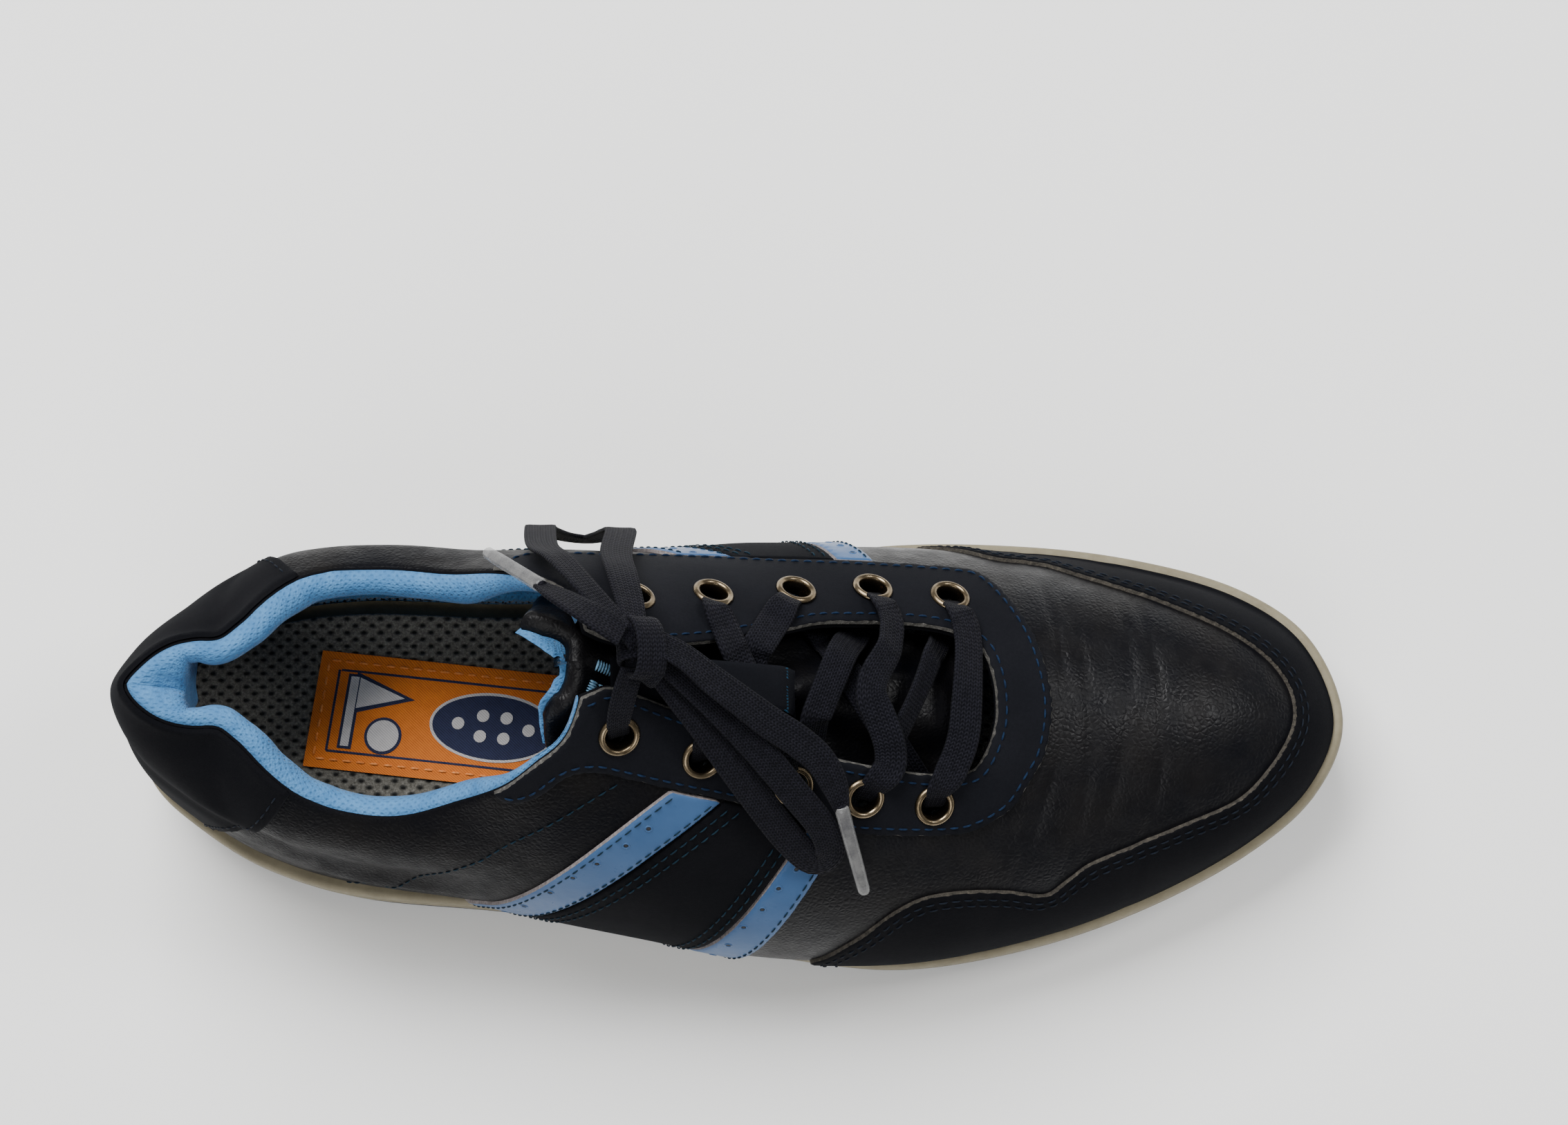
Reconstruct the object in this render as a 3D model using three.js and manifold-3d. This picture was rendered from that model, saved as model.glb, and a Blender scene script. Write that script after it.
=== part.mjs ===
// A right-foot lace-up golf shoe, size EU 42, as an assembly of separate pieces.
// Millimetres. x runs from heel to toe, y towards the inner side of the foot, z up from the ground.
//
// The upper is described by one surface, the outside of its base leather. A point on it is given
// by a, the place round the sole (0 at the back of the heel, 0.5 at the toe tip, the outer side
// first), and s, the height up the side (0 at the sole, 1 at the ridge over the instep). Every
// layer of the upper is that surface moved in or out along its normal.

import * as THREE from 'three';
import { mergeVertices } from 'three/addons/utils/BufferGeometryUtils.js';
import Module from 'manifold-3d';

const wasm = await Module();
wasm.setup();

// ---------------------------------------------------------------- driving dimensions

// Widest line of the sole in plan: heel back, outer side, toe tip, then the inner side back.
const SOLE_OUTLINE = [
  [5, 5], [10, -10], [22, -21], [38, -30.5], [60, -37], [95, -40.5], [130, -45.5],
  [160, -51.5], [192, -55], [224, -50], [252, -40.5], [277, -27.5], [293, -13.5],
  [299.5, 4], [292, 24], [275, 37], [250, 45], [222, 49], [190, 49.5], [158, 45],
  [128, 39.5], [95, 38.5], [62, 39.5], [38, 36.5], [22, 29.5], [11, 19],
];
const ORIGIN = { x: 152.25, y: -2.75 };         // middle of the sole's box, which becomes x = y = 0
const FEATHER_INSET = 3;                        // the upper meets the sole this far inside its edge

// Profiles along the shoe, as [x, value] pairs joined by a smooth curve.
const SOLE_TOP = [[0, 27], [60, 26], [120, 23], [180, 20], [225, 20], [265, 23], [300, 29]];
const RIDGE_HEIGHT = [
  [0, 128], [40, 132], [80, 130], [112, 118], [135, 104], [160, 90], [190, 75.5],
  [215, 65.5], [240, 58.5], [265, 53], [285, 47], [300, 40],
];
const RIDGE_SIDE = [[0, 5], [60, 5], [110, 7], [135, 7], [160, 5.5], [205, 3], [250, 1], [300, 2]];
const LEAN_OUTER = [[36, 1.2], [60, 2.2], [90, 2.3], [118, 1.8], [150, 1.35], [200, 1.1], [300, 0.9]];
const LEAN_INNER = [[36, 1.4], [50, 1.8], [90, 1.7], [110, 1.3], [150, 1.15], [200, 1.05], [300, 0.9]];
const BULGE_OUTER = [
  [8, 0.5], [60, 1], [85, 3.5], [110, 6.5], [140, 7.5], [165, 6], [190, 2.5], [215, 1], [250, 0], [300, -0.8],
];
const BULGE_INNER = [
  [8, 0.5], [25, 2], [45, 6.5], [75, 8], [112, 8], [150, 5.5], [187, 1.2], [215, -0.8],
  [245, -2.6], [282, -2.8], [300, -1.5],
];
const TOPLINE = [
  [4, 90], [30, 89], [45, 86], [55, 81], [66, 78], [76, 78], [86, 81], [95, 86], [103, 92],
  [112, 99], [121, 104],
];
const TOPLINE_TILT = 0.05;                      // the inner side of the collar stands this much higher
const TOE_SPRING = { start: 225, rise: 9 };
const HEEL_BEVEL = { end: 25, rise: 3 };

// Layers of the upper, as distances from the outside of the base leather.
const LEATHER = [-1.5, 0];
const OVERLAY = [0.3, 1.7];
const STIFFENER = [-2.8, -1.8];
const LINING_DEPTH = 3.1;
const LINING_THICKNESS = 0.9;
const COLLAR_PADDING = 5.5;
const GAP = 0.35;

// Openings and seams in plan.
const THROAT = [
  [100, -18], [106, -13], [113, -8.6], [120, -3.8], [126, -0.6], [131, 0.6], [145, -3.5], [160, -7.5],
  [179, -11.8], [194, -13.9], [204, -14.2], [210, -13], [213, -9], [215, -3.9], [215.7, 1.2],
  [215, 8.5], [212, 15.5], [205, 19.3], [195, 20.5], [182.5, 20], [174.7, 19.1], [167.5, 16.8],
  [158.7, 14.5], [151, 12.2], [140, 10.5], [131, 10.5], [124, 13], [116, 19], [108, 25], [100, 32],
];
const EYESTAY = [
  [90, -14], [97, -16], [101, -20], [105.5, -22.8], [112, -22], [119, -18], [125, -16.8],
  [132, -17.8], [143.5, -20], [155, -22], [167, -24.6], [176, -27.3], [187, -28], [203, -27.6],
  [211, -26], [219, -21.3], [224.3, -13.8], [227, -9], [228.8, 0], [228, 9], [224.7, 19.5],
  [219, 29], [212.5, 35.5], [205, 37], [186, 37], [161, 37], [137, 36.5], [122, 35.5], [112, 35],
  [106, 33.5], [101, 30], [96, 26], [90, 24],
];
const MUDGUARD_EDGE = [
  [166, -62], [167, -55], [175, -53], [183, -49.5], [192, -43.8], [199, -40.7], [209, -39.2],
  [219, -39.2], [227, -39.6], [232.3, -36.3], [238, -32.5], [248, -28.4], [260, -23.2], [273, -16.9],
  [280.5, -9.3], [285, -1.7], [286.2, 4], [284.8, 10], [280, 16.3], [271, 22.8], [259.5, 28.2],
  [248, 33], [238, 36.5], [232, 39], [226, 41.2], [216, 41.6], [203, 46], [190, 49], [184, 62],
];

// Seams up the sides: x at the sole and how far x moves forward from the sole to the ridge.
const SEAMS = {
  lateral: {
    rearStripeBack: [86, 89], rearStripeFront: [97, 88.7],
    frontStripeBack: [137.5, 57], frontStripeFront: [148.9, 52.6], vamp: [143, 55],
  },
  medial: {
    rearStripeBack: [112, 72], rearStripeFront: [122, 76],
    frontStripeBack: [163.5, 34], frontStripeFront: [173.5, 32], vamp: [168.5, 33],
  },
};
const HEEL_OVERLAY_EDGE = [[58, 96], [56, 84], [50, 74], [42, 63], [34, 51], [28, 38], [25, 18]];

const EYELETS = {
  lateral: [[131, -9], [149, -13], [169, -18], [185, -20], [201, -21]],
  medial: [[134, 22], [151, 24.5], [169.5, 27], [187, 29], [205, 28]],
};
const EYELET = { hole: 3.0, barrel: 3.45, flange: 5.25, cut: 3.9, seat: 2.3, foot: -4.2 };

const TONGUE = { base: 208, top: 117, halfWidthBase: 17, halfWidthTop: 20, edgeDepth: 8.8, crown: 5.4 };
const TONGUE_LAYERS = { tongue_outer: [0, 1.3], tongue_foam: [1.6, 5], tongue_lining: [5.3, 6.2] };
const KEEPER = {
  rear: 129, front: 170.5, centre: [4.5, 2.5], half: [3.5, 5], thickness: 0.8, hump: 3, middle: 158.5,
};

const LACE = { width: 7.5, thickness: 1 };
const AGLET = { length: 23, radius: 1.7 };

const COLOURS = {
  leather: 0x14161f, nubuck: 0x11131a, eyestay: 0x12141c, stripe: 0x84a4d8, lining: 0x5d9bd6,
  midsole: 0xa59c87, outsole: 0x15161b, foam: 0xe9dfb8, board: 0xb9a27c, steel: 0x9aa0a6,
  stiffener: 0xcfc6b4, footbed: 0x6a6962, label: 0xe8792b, brass: 0x8d7c5f, lace: 0x11131f,
  aglet: 0xdfe3e6,
};

// ---------------------------------------------------------------- curves and the last

const OUTLINE_CURVE = new THREE.CatmullRomCurve3(
  SOLE_OUTLINE.map(([x, y]) => new THREE.Vector3(x, y, 0)), true, 'catmullrom', 0.5);

function smooth(t) {
  const u = THREE.MathUtils.clamp(t, 0, 1);
  return u * u * (3 - 2 * u);
}

// A smooth curve through a table of [x, value] pairs, level outside it.
function profile(table, x) {
  const last = table.length - 1;
  const at = THREE.MathUtils.clamp(x, table[0][0], table[last][0]);
  let i = 0;
  while (i < last - 1 && at >= table[i + 1][0]) i += 1;
  const slope = (k) => (table[k + 1][1] - table[k][1]) / (table[k + 1][0] - table[k][0]);
  const step = (k) => table[k + 1][0] - table[k][0];
  const tangent = (k) => {
    if (k === 0) return slope(0);
    if (k === last) return slope(last - 1);
    return (slope(k - 1) * step(k) + slope(k) * step(k - 1)) / (step(k) + step(k - 1));
  };
  const w = step(i);
  const u = (at - table[i][0]) / w;
  return table[i][1] * (2 * u ** 3 - 3 * u ** 2 + 1) + table[i + 1][1] * (3 * u ** 2 - 2 * u ** 3)
    + tangent(i) * w * (u ** 3 - 2 * u ** 2 + u) + tangent(i + 1) * w * (u ** 3 - u ** 2);
}

// Point of the sole's outline and its outward direction, moved inwards by inset.
function outline(a, inset = 0) {
  const u = ((a % 1) + 1) % 1;
  const p = OUTLINE_CURVE.getPoint(u);
  const ahead = OUTLINE_CURVE.getPoint((u + 0.0005) % 1);
  const behind = OUTLINE_CURVE.getPoint((u + 0.9995) % 1);
  const along = ahead.sub(behind).normalize();
  const out = { x: along.y, y: -along.x };
  return { x: p.x - out.x * inset, y: p.y - out.y * inset, out };
}

function ground(x) {
  const toe = Math.max(0, (x - TOE_SPRING.start) / (300 - TOE_SPRING.start));
  const heel = Math.max(0, (HEEL_BEVEL.end - x) / HEEL_BEVEL.end);
  return TOE_SPRING.rise * toe ** 2 + HEEL_BEVEL.rise * heel ** 2;
}

// The ridge runs from above the heel cup to above the toes, and stops short of both ends.
function ridgeX(x) {
  const rear = 66;
  const front = 235;
  const ease = 32;
  if (x > front) return front + ease * (1 - Math.exp((front - x) / ease));
  if (x < rear) return rear - ease * (1 - Math.exp((x - rear) / ease));
  return x;
}

// The padded collar closes in over the heel.
function collarPinch(x, z) {
  const heel = 0.5 * Math.exp(-(((x - 34) / 12) ** 2));
  const ankle = 0.12 * (1 - smooth((x - 85) / 30));
  return (heel + ankle) * smooth((z - 66) / 22);
}

function lastPoint(a, s) {
  const foot = outline(a, FEATHER_INSET);
  const opposite = outline(-a, FEATHER_INSET);
  const top = ridgeX((foot.x + opposite.x) / 2);
  const side = profile(RIDGE_SIDE, top);
  const inner = 0.5 + 0.5 * Math.tanh(foot.y / 12);
  const mix = (outerTable, innerTable, x) =>
    profile(outerTable, x) * (1 - inner) + profile(innerTable, x) * inner;
  const lean = mix(LEAN_OUTER, LEAN_INNER, top);
  const bulge = mix(BULGE_OUTER, BULGE_INNER, foot.x) * Math.sin(Math.PI * Math.sqrt(s));
  const angle = s * Math.PI / 2;
  const inwards = 1 - Math.cos(angle) ** lean;
  const x = foot.x + (top - foot.x) * inwards + foot.out.x * bulge;
  const y = foot.y + (side - foot.y) * inwards + foot.out.y * bulge;
  const low = profile(SOLE_TOP, foot.x);
  const z = low + (profile(RIDGE_HEIGHT, x) - low) * Math.sin(angle);
  return new THREE.Vector3(x, y + (profile(RIDGE_SIDE, x) - y) * collarPinch(x, z), z);
}

function sideNormal(a, s) {
  const e = 0.002;
  const at = THREE.MathUtils.clamp(s, 0.05, 0.99);
  const along = lastPoint(a + e, at).sub(lastPoint(a - e, at));
  const up = lastPoint(a, at + e).sub(lastPoint(a, at - e));
  return along.cross(up).normalize();
}

// Outward normal. On the ridge the two sides share one normal, so that they meet.
function lastNormal(a, s) {
  const n = sideNormal(a, s);
  if (s > 0.999) n.add(sideNormal(1 - a, s)).normalize();
  return n;
}

function layerPoint(a, s, d) {
  return lastPoint(a, s).addScaledVector(lastNormal(a, s), d);
}

function bisect(low, high, above) {
  let lo = low;
  let hi = high;
  for (let i = 0; i < 30; i += 1) {
    const mid = (lo + hi) / 2;
    if (above(mid)) hi = mid;
    else lo = mid;
  }
  return (lo + hi) / 2;
}

// The place a, on one side of the shoe, where the surface at height s reaches x.
function placeAt(x, s, side) {
  const a = bisect(0, 0.5, (t) => lastPoint(side === 'lateral' ? t : 1 - t, s).x > x);
  return side === 'lateral' ? a : 1 - a;
}

// Surface coordinates of the point seen at x, y from above.
function fromAbove(x, y) {
  const side = y < profile(RIDGE_SIDE, x) ? 'lateral' : 'medial';
  const s = bisect(0.25, 1, (t) => {
    const p = lastPoint(placeAt(x, t, side), t);
    return side === 'lateral' ? p.y > y : p.y < y;
  });
  return { a: placeAt(x, s, side), s };
}

// ---------------------------------------------------------------- closed bodies

// Joins rings of equal length into one skin. Rings are lists of Vector3.
function skin(rings, { closed = true } = {}) {
  const n = rings[0].length;
  const index = [];
  const reach = closed ? n : n - 1;
  for (let r = 0; r + 1 < rings.length; r += 1) {
    for (let i = 0; i < reach; i += 1) {
      const p = r * n + i;
      const q = r * n + ((i + 1) % n);
      index.push(p, q, p + n, q, q + n, p + n);
    }
  }
  return { points: rings.flat(), index, n };
}

function turnedOver(index) {
  const turned = [...index];
  for (let i = 0; i < turned.length; i += 3) [turned[i], turned[i + 1]] = [turned[i + 1], turned[i]];
  return turned;
}

// A triangulated lid for a ring whose points i and n - i face each other across it.
function lid(start, n, flip) {
  const index = [];
  for (let i = 0; i < n / 2; i += 1) {
    const p = start + i;
    const q = start + i + 1;
    const pOpp = start + ((n - i) % n);
    const qOpp = start + ((n - i - 1) % n);
    index.push(p, qOpp, q, p, pOpp, qOpp);
  }
  return flip ? turnedOver(index) : index;
}

function toGeometry(points, index) {
  const geometry = new THREE.BufferGeometry();
  geometry.setAttribute('position', new THREE.Float32BufferAttribute(points.flatMap((p) => [p.x, p.y, p.z]), 3));
  geometry.setIndex(index);
  return geometry;
}

// Makes a manifold solid of a geometry: welds it, drops collapsed triangles, turns it right side out.
function toSolid(source) {
  const bare = source.clone();
  bare.deleteAttribute('normal');
  bare.deleteAttribute('uv');
  const geometry = mergeVertices(bare, 1e-4);
  const corner = geometry.getIndex().array;
  const kept = [];
  for (let i = 0; i < corner.length; i += 3) {
    const [p, q, r] = [corner[i], corner[i + 1], corner[i + 2]];
    if (p !== q && q !== r && r !== p) kept.push(p, q, r);
  }
  const vertProperties = new Float32Array(geometry.getAttribute('position').array);
  const make = (tri) => new wasm.Manifold(new wasm.Mesh({ numProp: 3, vertProperties, triVerts: new Uint32Array(tri) }));
  const volume = (tri) => {
    let sum = 0;
    for (let i = 0; i < tri.length; i += 3) {
      const [p, q, r] = [0, 1, 2].map((k) => new THREE.Vector3().fromArray(vertProperties, 3 * tri[i + k]));
      sum += p.dot(q.cross(r));
    }
    return sum;
  };
  if (volume(kept) < 0) {
    for (let i = 0; i < kept.length; i += 3) [kept[i], kept[i + 1]] = [kept[i + 1], kept[i]];
  }
  return make(kept);
}

function ringSolid(rings, lids = true) {
  const { points, index, n } = skin(rings);
  if (lids) index.push(...lid(0, n, false), ...lid((rings.length - 1) * n, n, true));
  return toSolid(toGeometry(points, index));
}

// A slab between an upper and a lower grid of points, walls all round.
function gridSolid(columns, rows, upper, lower) {
  const rings = (fn) => Array.from({ length: columns + 1 }, (_, i) =>
    Array.from({ length: rows + 1 }, (__, j) => fn(i / columns, j / rows)));
  const top = skin(rings(upper), { closed: false });
  const bottom = skin(rings(lower), { closed: false });
  const offset = top.points.length;
  const index = [...top.index, ...turnedOver(bottom.index).map((i) => i + offset)];
  const n = rows + 1;
  const rim = [
    ...Array.from({ length: rows }, (_, j) => j),
    ...Array.from({ length: columns }, (_, i) => i * n + rows),
    ...Array.from({ length: rows }, (_, j) => columns * n + rows - j),
    ...Array.from({ length: columns }, (_, i) => (columns - i) * n),
  ];
  rim.forEach((p, k) => {
    const q = rim[(k + 1) % rim.length];
    index.push(q, p, p + offset, q, p + offset, q + offset);
  });
  return toSolid(toGeometry([...top.points, ...bottom.points], index));
}

function shapeOf(points) {
  return new THREE.Shape(points.map(([x, y]) => new THREE.Vector2(x, y)));
}

// A prism standing on an outline drawn in plan.
function planPrism(points, low = -10, high = 160) {
  const geometry = new THREE.ExtrudeGeometry(shapeOf(points), { depth: high - low, bevelEnabled: false });
  return toSolid(geometry.translate(0, 0, low));
}

// A prism across the shoe, from an outline drawn in side view as [x, z] pairs.
function sidePrism(points, from = -80, to = 80) {
  const geometry = new THREE.ExtrudeGeometry(shapeOf(points), { depth: to - from, bevelEnabled: false });
  return toSolid(geometry.rotateX(Math.PI / 2).translate(0, to, 0));
}

// ---------------------------------------------------------------- soles and boards

const AROUND = 38;
const ROUND = Array.from({ length: AROUND }, (_, i) => i / AROUND);

function soleRing(inset, height) {
  return ROUND.map((a) => {
    const p = outline(a, typeof inset === 'function' ? inset(outline(a).x) : inset);
    return new THREE.Vector3(p.x, p.y, height(p.x));
  });
}

function slab(inset, low, high) {
  return ringSolid([soleRing(inset, low), soleRing(inset, high)]);
}

const soleTop = (x) => profile(SOLE_TOP, x);

function insideOutline(x, y, inset) {
  const ring = Array.from({ length: 120 }, (_, i) => outline(i / 120, inset));
  let inside = false;
  ring.forEach((p, i) => {
    const q = ring[(i + 1) % ring.length];
    if ((p.y > y) !== (q.y > y) && x < p.x + (q.x - p.x) * (y - p.y) / (q.y - p.y)) inside = !inside;
  });
  return inside;
}

// Moulded traction lugs: staggered rows of six-sided studs, none under the waist.
function lugs() {
  const pitch = 22;
  const solids = [];
  for (let row = 0; row <= 12; row += 1) {
    const x = 18 + row * pitch;
    if (x > 96 && x < 146) continue;
    for (let k = -4; k <= 4; k += 1) {
      const y = (k + (row % 2) / 2) * pitch;
      if (!insideOutline(x, y, 8)) continue;
      const stud = new THREE.CylinderGeometry(7, 5.4, 3.2, 6).rotateX(Math.PI / 2);
      solids.push(toSolid(stud.translate(x, y, ground(x) + 1.6)));
    }
  }
  return solids;
}

function outsole() {
  const base = ringSolid([
    soleRing(3.5, (x) => ground(x) + 2.6),
    soleRing(1.5, (x) => ground(x) + 3.6),
    soleRing(1, (x) => ground(x) + 6),
  ]);
  return lugs().reduce((solid, lug) => solid.add(lug), base);
}

const SHANK = { rear: 88, front: 162, halfWidth: 8, thickness: 1.2, seat: 1.8 };

function shankBlock(rear, front, halfWidth, drop, thickness) {
  const centre = (x) => profile([[88, 0], [162, -1]], x);
  const point = (u, v, z) => {
    const x = rear + (front - rear) * u;
    return new THREE.Vector3(x, centre(x) + halfWidth * (2 * v - 1), soleTop(x) - drop + z);
  };
  return gridSolid(6, 1, (u, v) => point(u, v, thickness), (u, v) => point(u, v, 0));
}

function midsole() {
  const body = ringSolid([
    soleRing(1.6, (x) => ground(x) + 6.3),
    soleRing(0.6, (x) => ground(x) + 9.5),
    soleRing(0, (x) => soleTop(x) - 5),
    soleRing(0.2, (x) => soleTop(x) - 1.6),
    soleRing(1.1, (x) => soleTop(x)),
  ]);
  const { rear, front, halfWidth, thickness, seat } = SHANK;
  return body.subtract(shankBlock(rear - GAP, front + GAP, halfWidth + GAP, seat, thickness + 2));
}

function shank() {
  const { rear, front, halfWidth, thickness, seat } = SHANK;
  return shankBlock(rear, front, halfWidth, seat - GAP, thickness);
}

// The boards under the foot draw back from the toe, where the upper slopes in.
const BOARD = { inset: (x) => 8.4 + 2.6 * smooth((x - 225) / 50), thickness: 1.8 };
const FOOTBED = { inset: (x) => 9 + 3 * smooth((x - 205) / 25) + 3 * smooth((x - 250) / 40), thickness: 4.2 };
const boardTop = (x) => soleTop(x) + GAP + BOARD.thickness;
const footbedTop = (x) => boardTop(x) + GAP + FOOTBED.thickness;

// The sewn patch on the footbed under the heel, turned a little outwards.
const LABEL = { rear: 50, front: 124, halfWidth: 14.2, centre: 9, slope: -0.11, thickness: 0.5 };

function footbedLabel() {
  const point = (u, v, z) => {
    const x = LABEL.rear + (LABEL.front - LABEL.rear) * u;
    const y = LABEL.centre + LABEL.slope * (x - LABEL.rear) + LABEL.halfWidth * (2 * v - 1);
    return new THREE.Vector3(x, y, footbedTop(x) + z);
  };
  return gridSolid(8, 1, (u, v) => point(u, v, GAP + LABEL.thickness), (u, v) => point(u, v, GAP));
}

// ---------------------------------------------------------------- layers of the upper

const LEVELS = [0, 0.09, 0.22, 0.38, 0.56, 0.78, 1];

// Points of the base leather's outside, one ring for each level, and their outward normals.
const GRID = LEVELS.map((s) => ROUND.map((a) => lastPoint(a, s)));
const NORMALS = GRID.map((ring, r) => ring.map((_, i) => {
  const row = Math.max(r, 1);
  const above = GRID[Math.min(row + 1, GRID.length - 1)][i];
  const along = GRID[row][(i + 1) % AROUND].clone().sub(GRID[row][(i + AROUND - 1) % AROUND]);
  const n = along.cross(above.clone().sub(GRID[row - 1][i]));
  if (r === 0) n.setZ(0);
  return n.normalize();
}));
// The two sides share the ridge, and so its normal.
const RIDGE_NORMALS = NORMALS[NORMALS.length - 1];
NORMALS[NORMALS.length - 1] = RIDGE_NORMALS.map((n, i) =>
  n.clone().add(RIDGE_NORMALS[(AROUND - i) % AROUND]).normalize());

// A whole dome of one layer. inner and outer give its distance from the base leather's outside.
// Both faces are split into triangles alike, so that neighbouring layers never cross.
function dome(inner, outer) {
  const face = (depth) => {
    const rings = GRID.map((ring, r) =>
      ring.map((p, i) => p.clone().addScaledVector(NORMALS[r][i], depth(p))));
    return skin([rings[0].map((p) => new THREE.Vector3(p.x, p.y, p.z - 4)), ...rings]);
  };
  const outside = face(outer);
  const inside = face(inner);
  const offset = outside.points.length;
  const index = [...outside.index, ...turnedOver(inside.index).map((i) => i + offset)];
  for (let i = 0; i < AROUND; i += 1) {
    const j = (i + 1) % AROUND;
    index.push(offset + i, j, i, offset + i, offset + j, j);
  }
  return toSolid(toGeometry([...outside.points, ...inside.points], index));
}

function layer([inner, outer]) {
  return dome(() => inner, () => outer);
}

// Depth of the lining: it stands off from the leather where the collar is padded.
function liningDepth(p) {
  const padded = smooth((p.z - 40) / 30) * (1 - smooth((p.x - 92) / 25));
  return LINING_DEPTH + COLLAR_PADDING * padded * (0.35 + 0.65 * smooth((p.x - 15) / 40));
}

function seamPolygon(side, [foot, travel], toX, push = 0) {
  const heights = [0, 0.1, 0.2, 0.3, 0.4, 0.5, 0.6, 0.7, 0.8, 0.9, 1];
  const points = heights.map((s) => {
    const x = foot + travel * s + push;
    return [x, lastPoint(placeAt(x, s, side), s).z];
  });
  const first = points[0];
  const end = points[points.length - 1];
  return [[first[0], -20], ...points, [end[0], 170], [toX, 170], [toX, -20]];
}

const SIDE_SPAN = { lateral: [-80, 4], medial: [4, 80] };

// Everything on one side of the shoe in front of a seam.
function aheadOf(side, seam, push = 0) {
  return sidePrism(seamPolygon(side, seam, 330, push), ...SIDE_SPAN[side]);
}

function between(side, backSeam, frontSeam, gap) {
  return aheadOf(side, backSeam, gap / 2).subtract(aheadOf(side, frontSeam, -gap / 2));
}

const throatCut = planPrism(THROAT);
const toplineCut = (() => {
  const edge = TOPLINE.map(([x]) => x);
  const rise = 60;
  const upper = (u, v) => {
    const x = edge[Math.round(u * (edge.length - 1))];
    return new THREE.Vector3(x - (u === 0 ? 20 : 0), 80 * (2 * v - 1), 170);
  };
  const lower = (u, v) => {
    const p = upper(u, v);
    return new THREE.Vector3(p.x, p.y, profile(TOPLINE, p.x) + TOPLINE_TILT * p.y);
  };
  const opening = gridSolid(edge.length - 1, 1, upper, lower);
  const instep = planPrism([[60, -12], [105, -12], [105, 24], [60, 24]], TOPLINE[5][1] + rise / 10, 170);
  return opening.add(instep);
})();
const soleCut = ringSolid([soleRing(-6, () => -20), soleRing(-6, (x) => soleTop(x) + GAP)]);
const eyestayPrism = planPrism(EYESTAY, 35);
const mudguardInside = planPrism([[-20, -80], [166, -80], ...MUDGUARD_EDGE, [184, 80], [-20, 80]]);
const heelRegion = sidePrism([[-20, 170], [58, 170], ...HEEL_OVERLAY_EDGE, [25, -20], [-20, -20]]);

function grown(points, by) {
  const n = points.length;
  return points.map(([x, y], i) => {
    const [px, py] = points[(i + n - 1) % n];
    const [qx, qy] = points[(i + 1) % n];
    const length = Math.hypot(qx - px, qy - py);
    return [x + (by * (qy - py)) / length, y - (by * (qx - px)) / length];
  });
}

function eyeletPlaces() {
  return Object.entries(EYELETS).flatMap(([side, list]) => list.map(([x, y], i) => {
    const { a, s } = fromAbove(x, y);
    return { name: `eyelet_${side}_${i + 1}`, point: lastPoint(a, s), normal: lastNormal(a, s) };
  }));
}

const PLACES = eyeletPlaces();

function turnedTo({ point, normal }, geometry) {
  const turn = new THREE.Quaternion().setFromUnitVectors(new THREE.Vector3(0, 1, 0), normal);
  return geometry.applyQuaternion(turn).translate(point.x, point.y, point.z);
}

const eyeletHoles = PLACES.map((place) =>
  toSolid(turnedTo(place, new THREE.CylinderGeometry(EYELET.cut, EYELET.cut, 20, 8))))
  .reduce((all, hole) => all.add(hole));

// What every layer of the upper loses: the opening, the throat, the sole's top and the eyelet holes.
function trimmed(solid) {
  return solid.subtract(throatCut).subtract(toplineCut).subtract(soleCut).subtract(eyeletHoles);
}

function largestFirst(solid) {
  return solid.decompose().sort((p, q) => q.volume() - p.volume());
}

function bySide(solid) {
  const [p, q] = largestFirst(solid);
  const middle = (body) => {
    const { min, max } = body.boundingBox();
    return min[1] + max[1];
  };
  return middle(p) < middle(q) ? { lateral: p, medial: q } : { lateral: q, medial: p };
}

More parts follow.
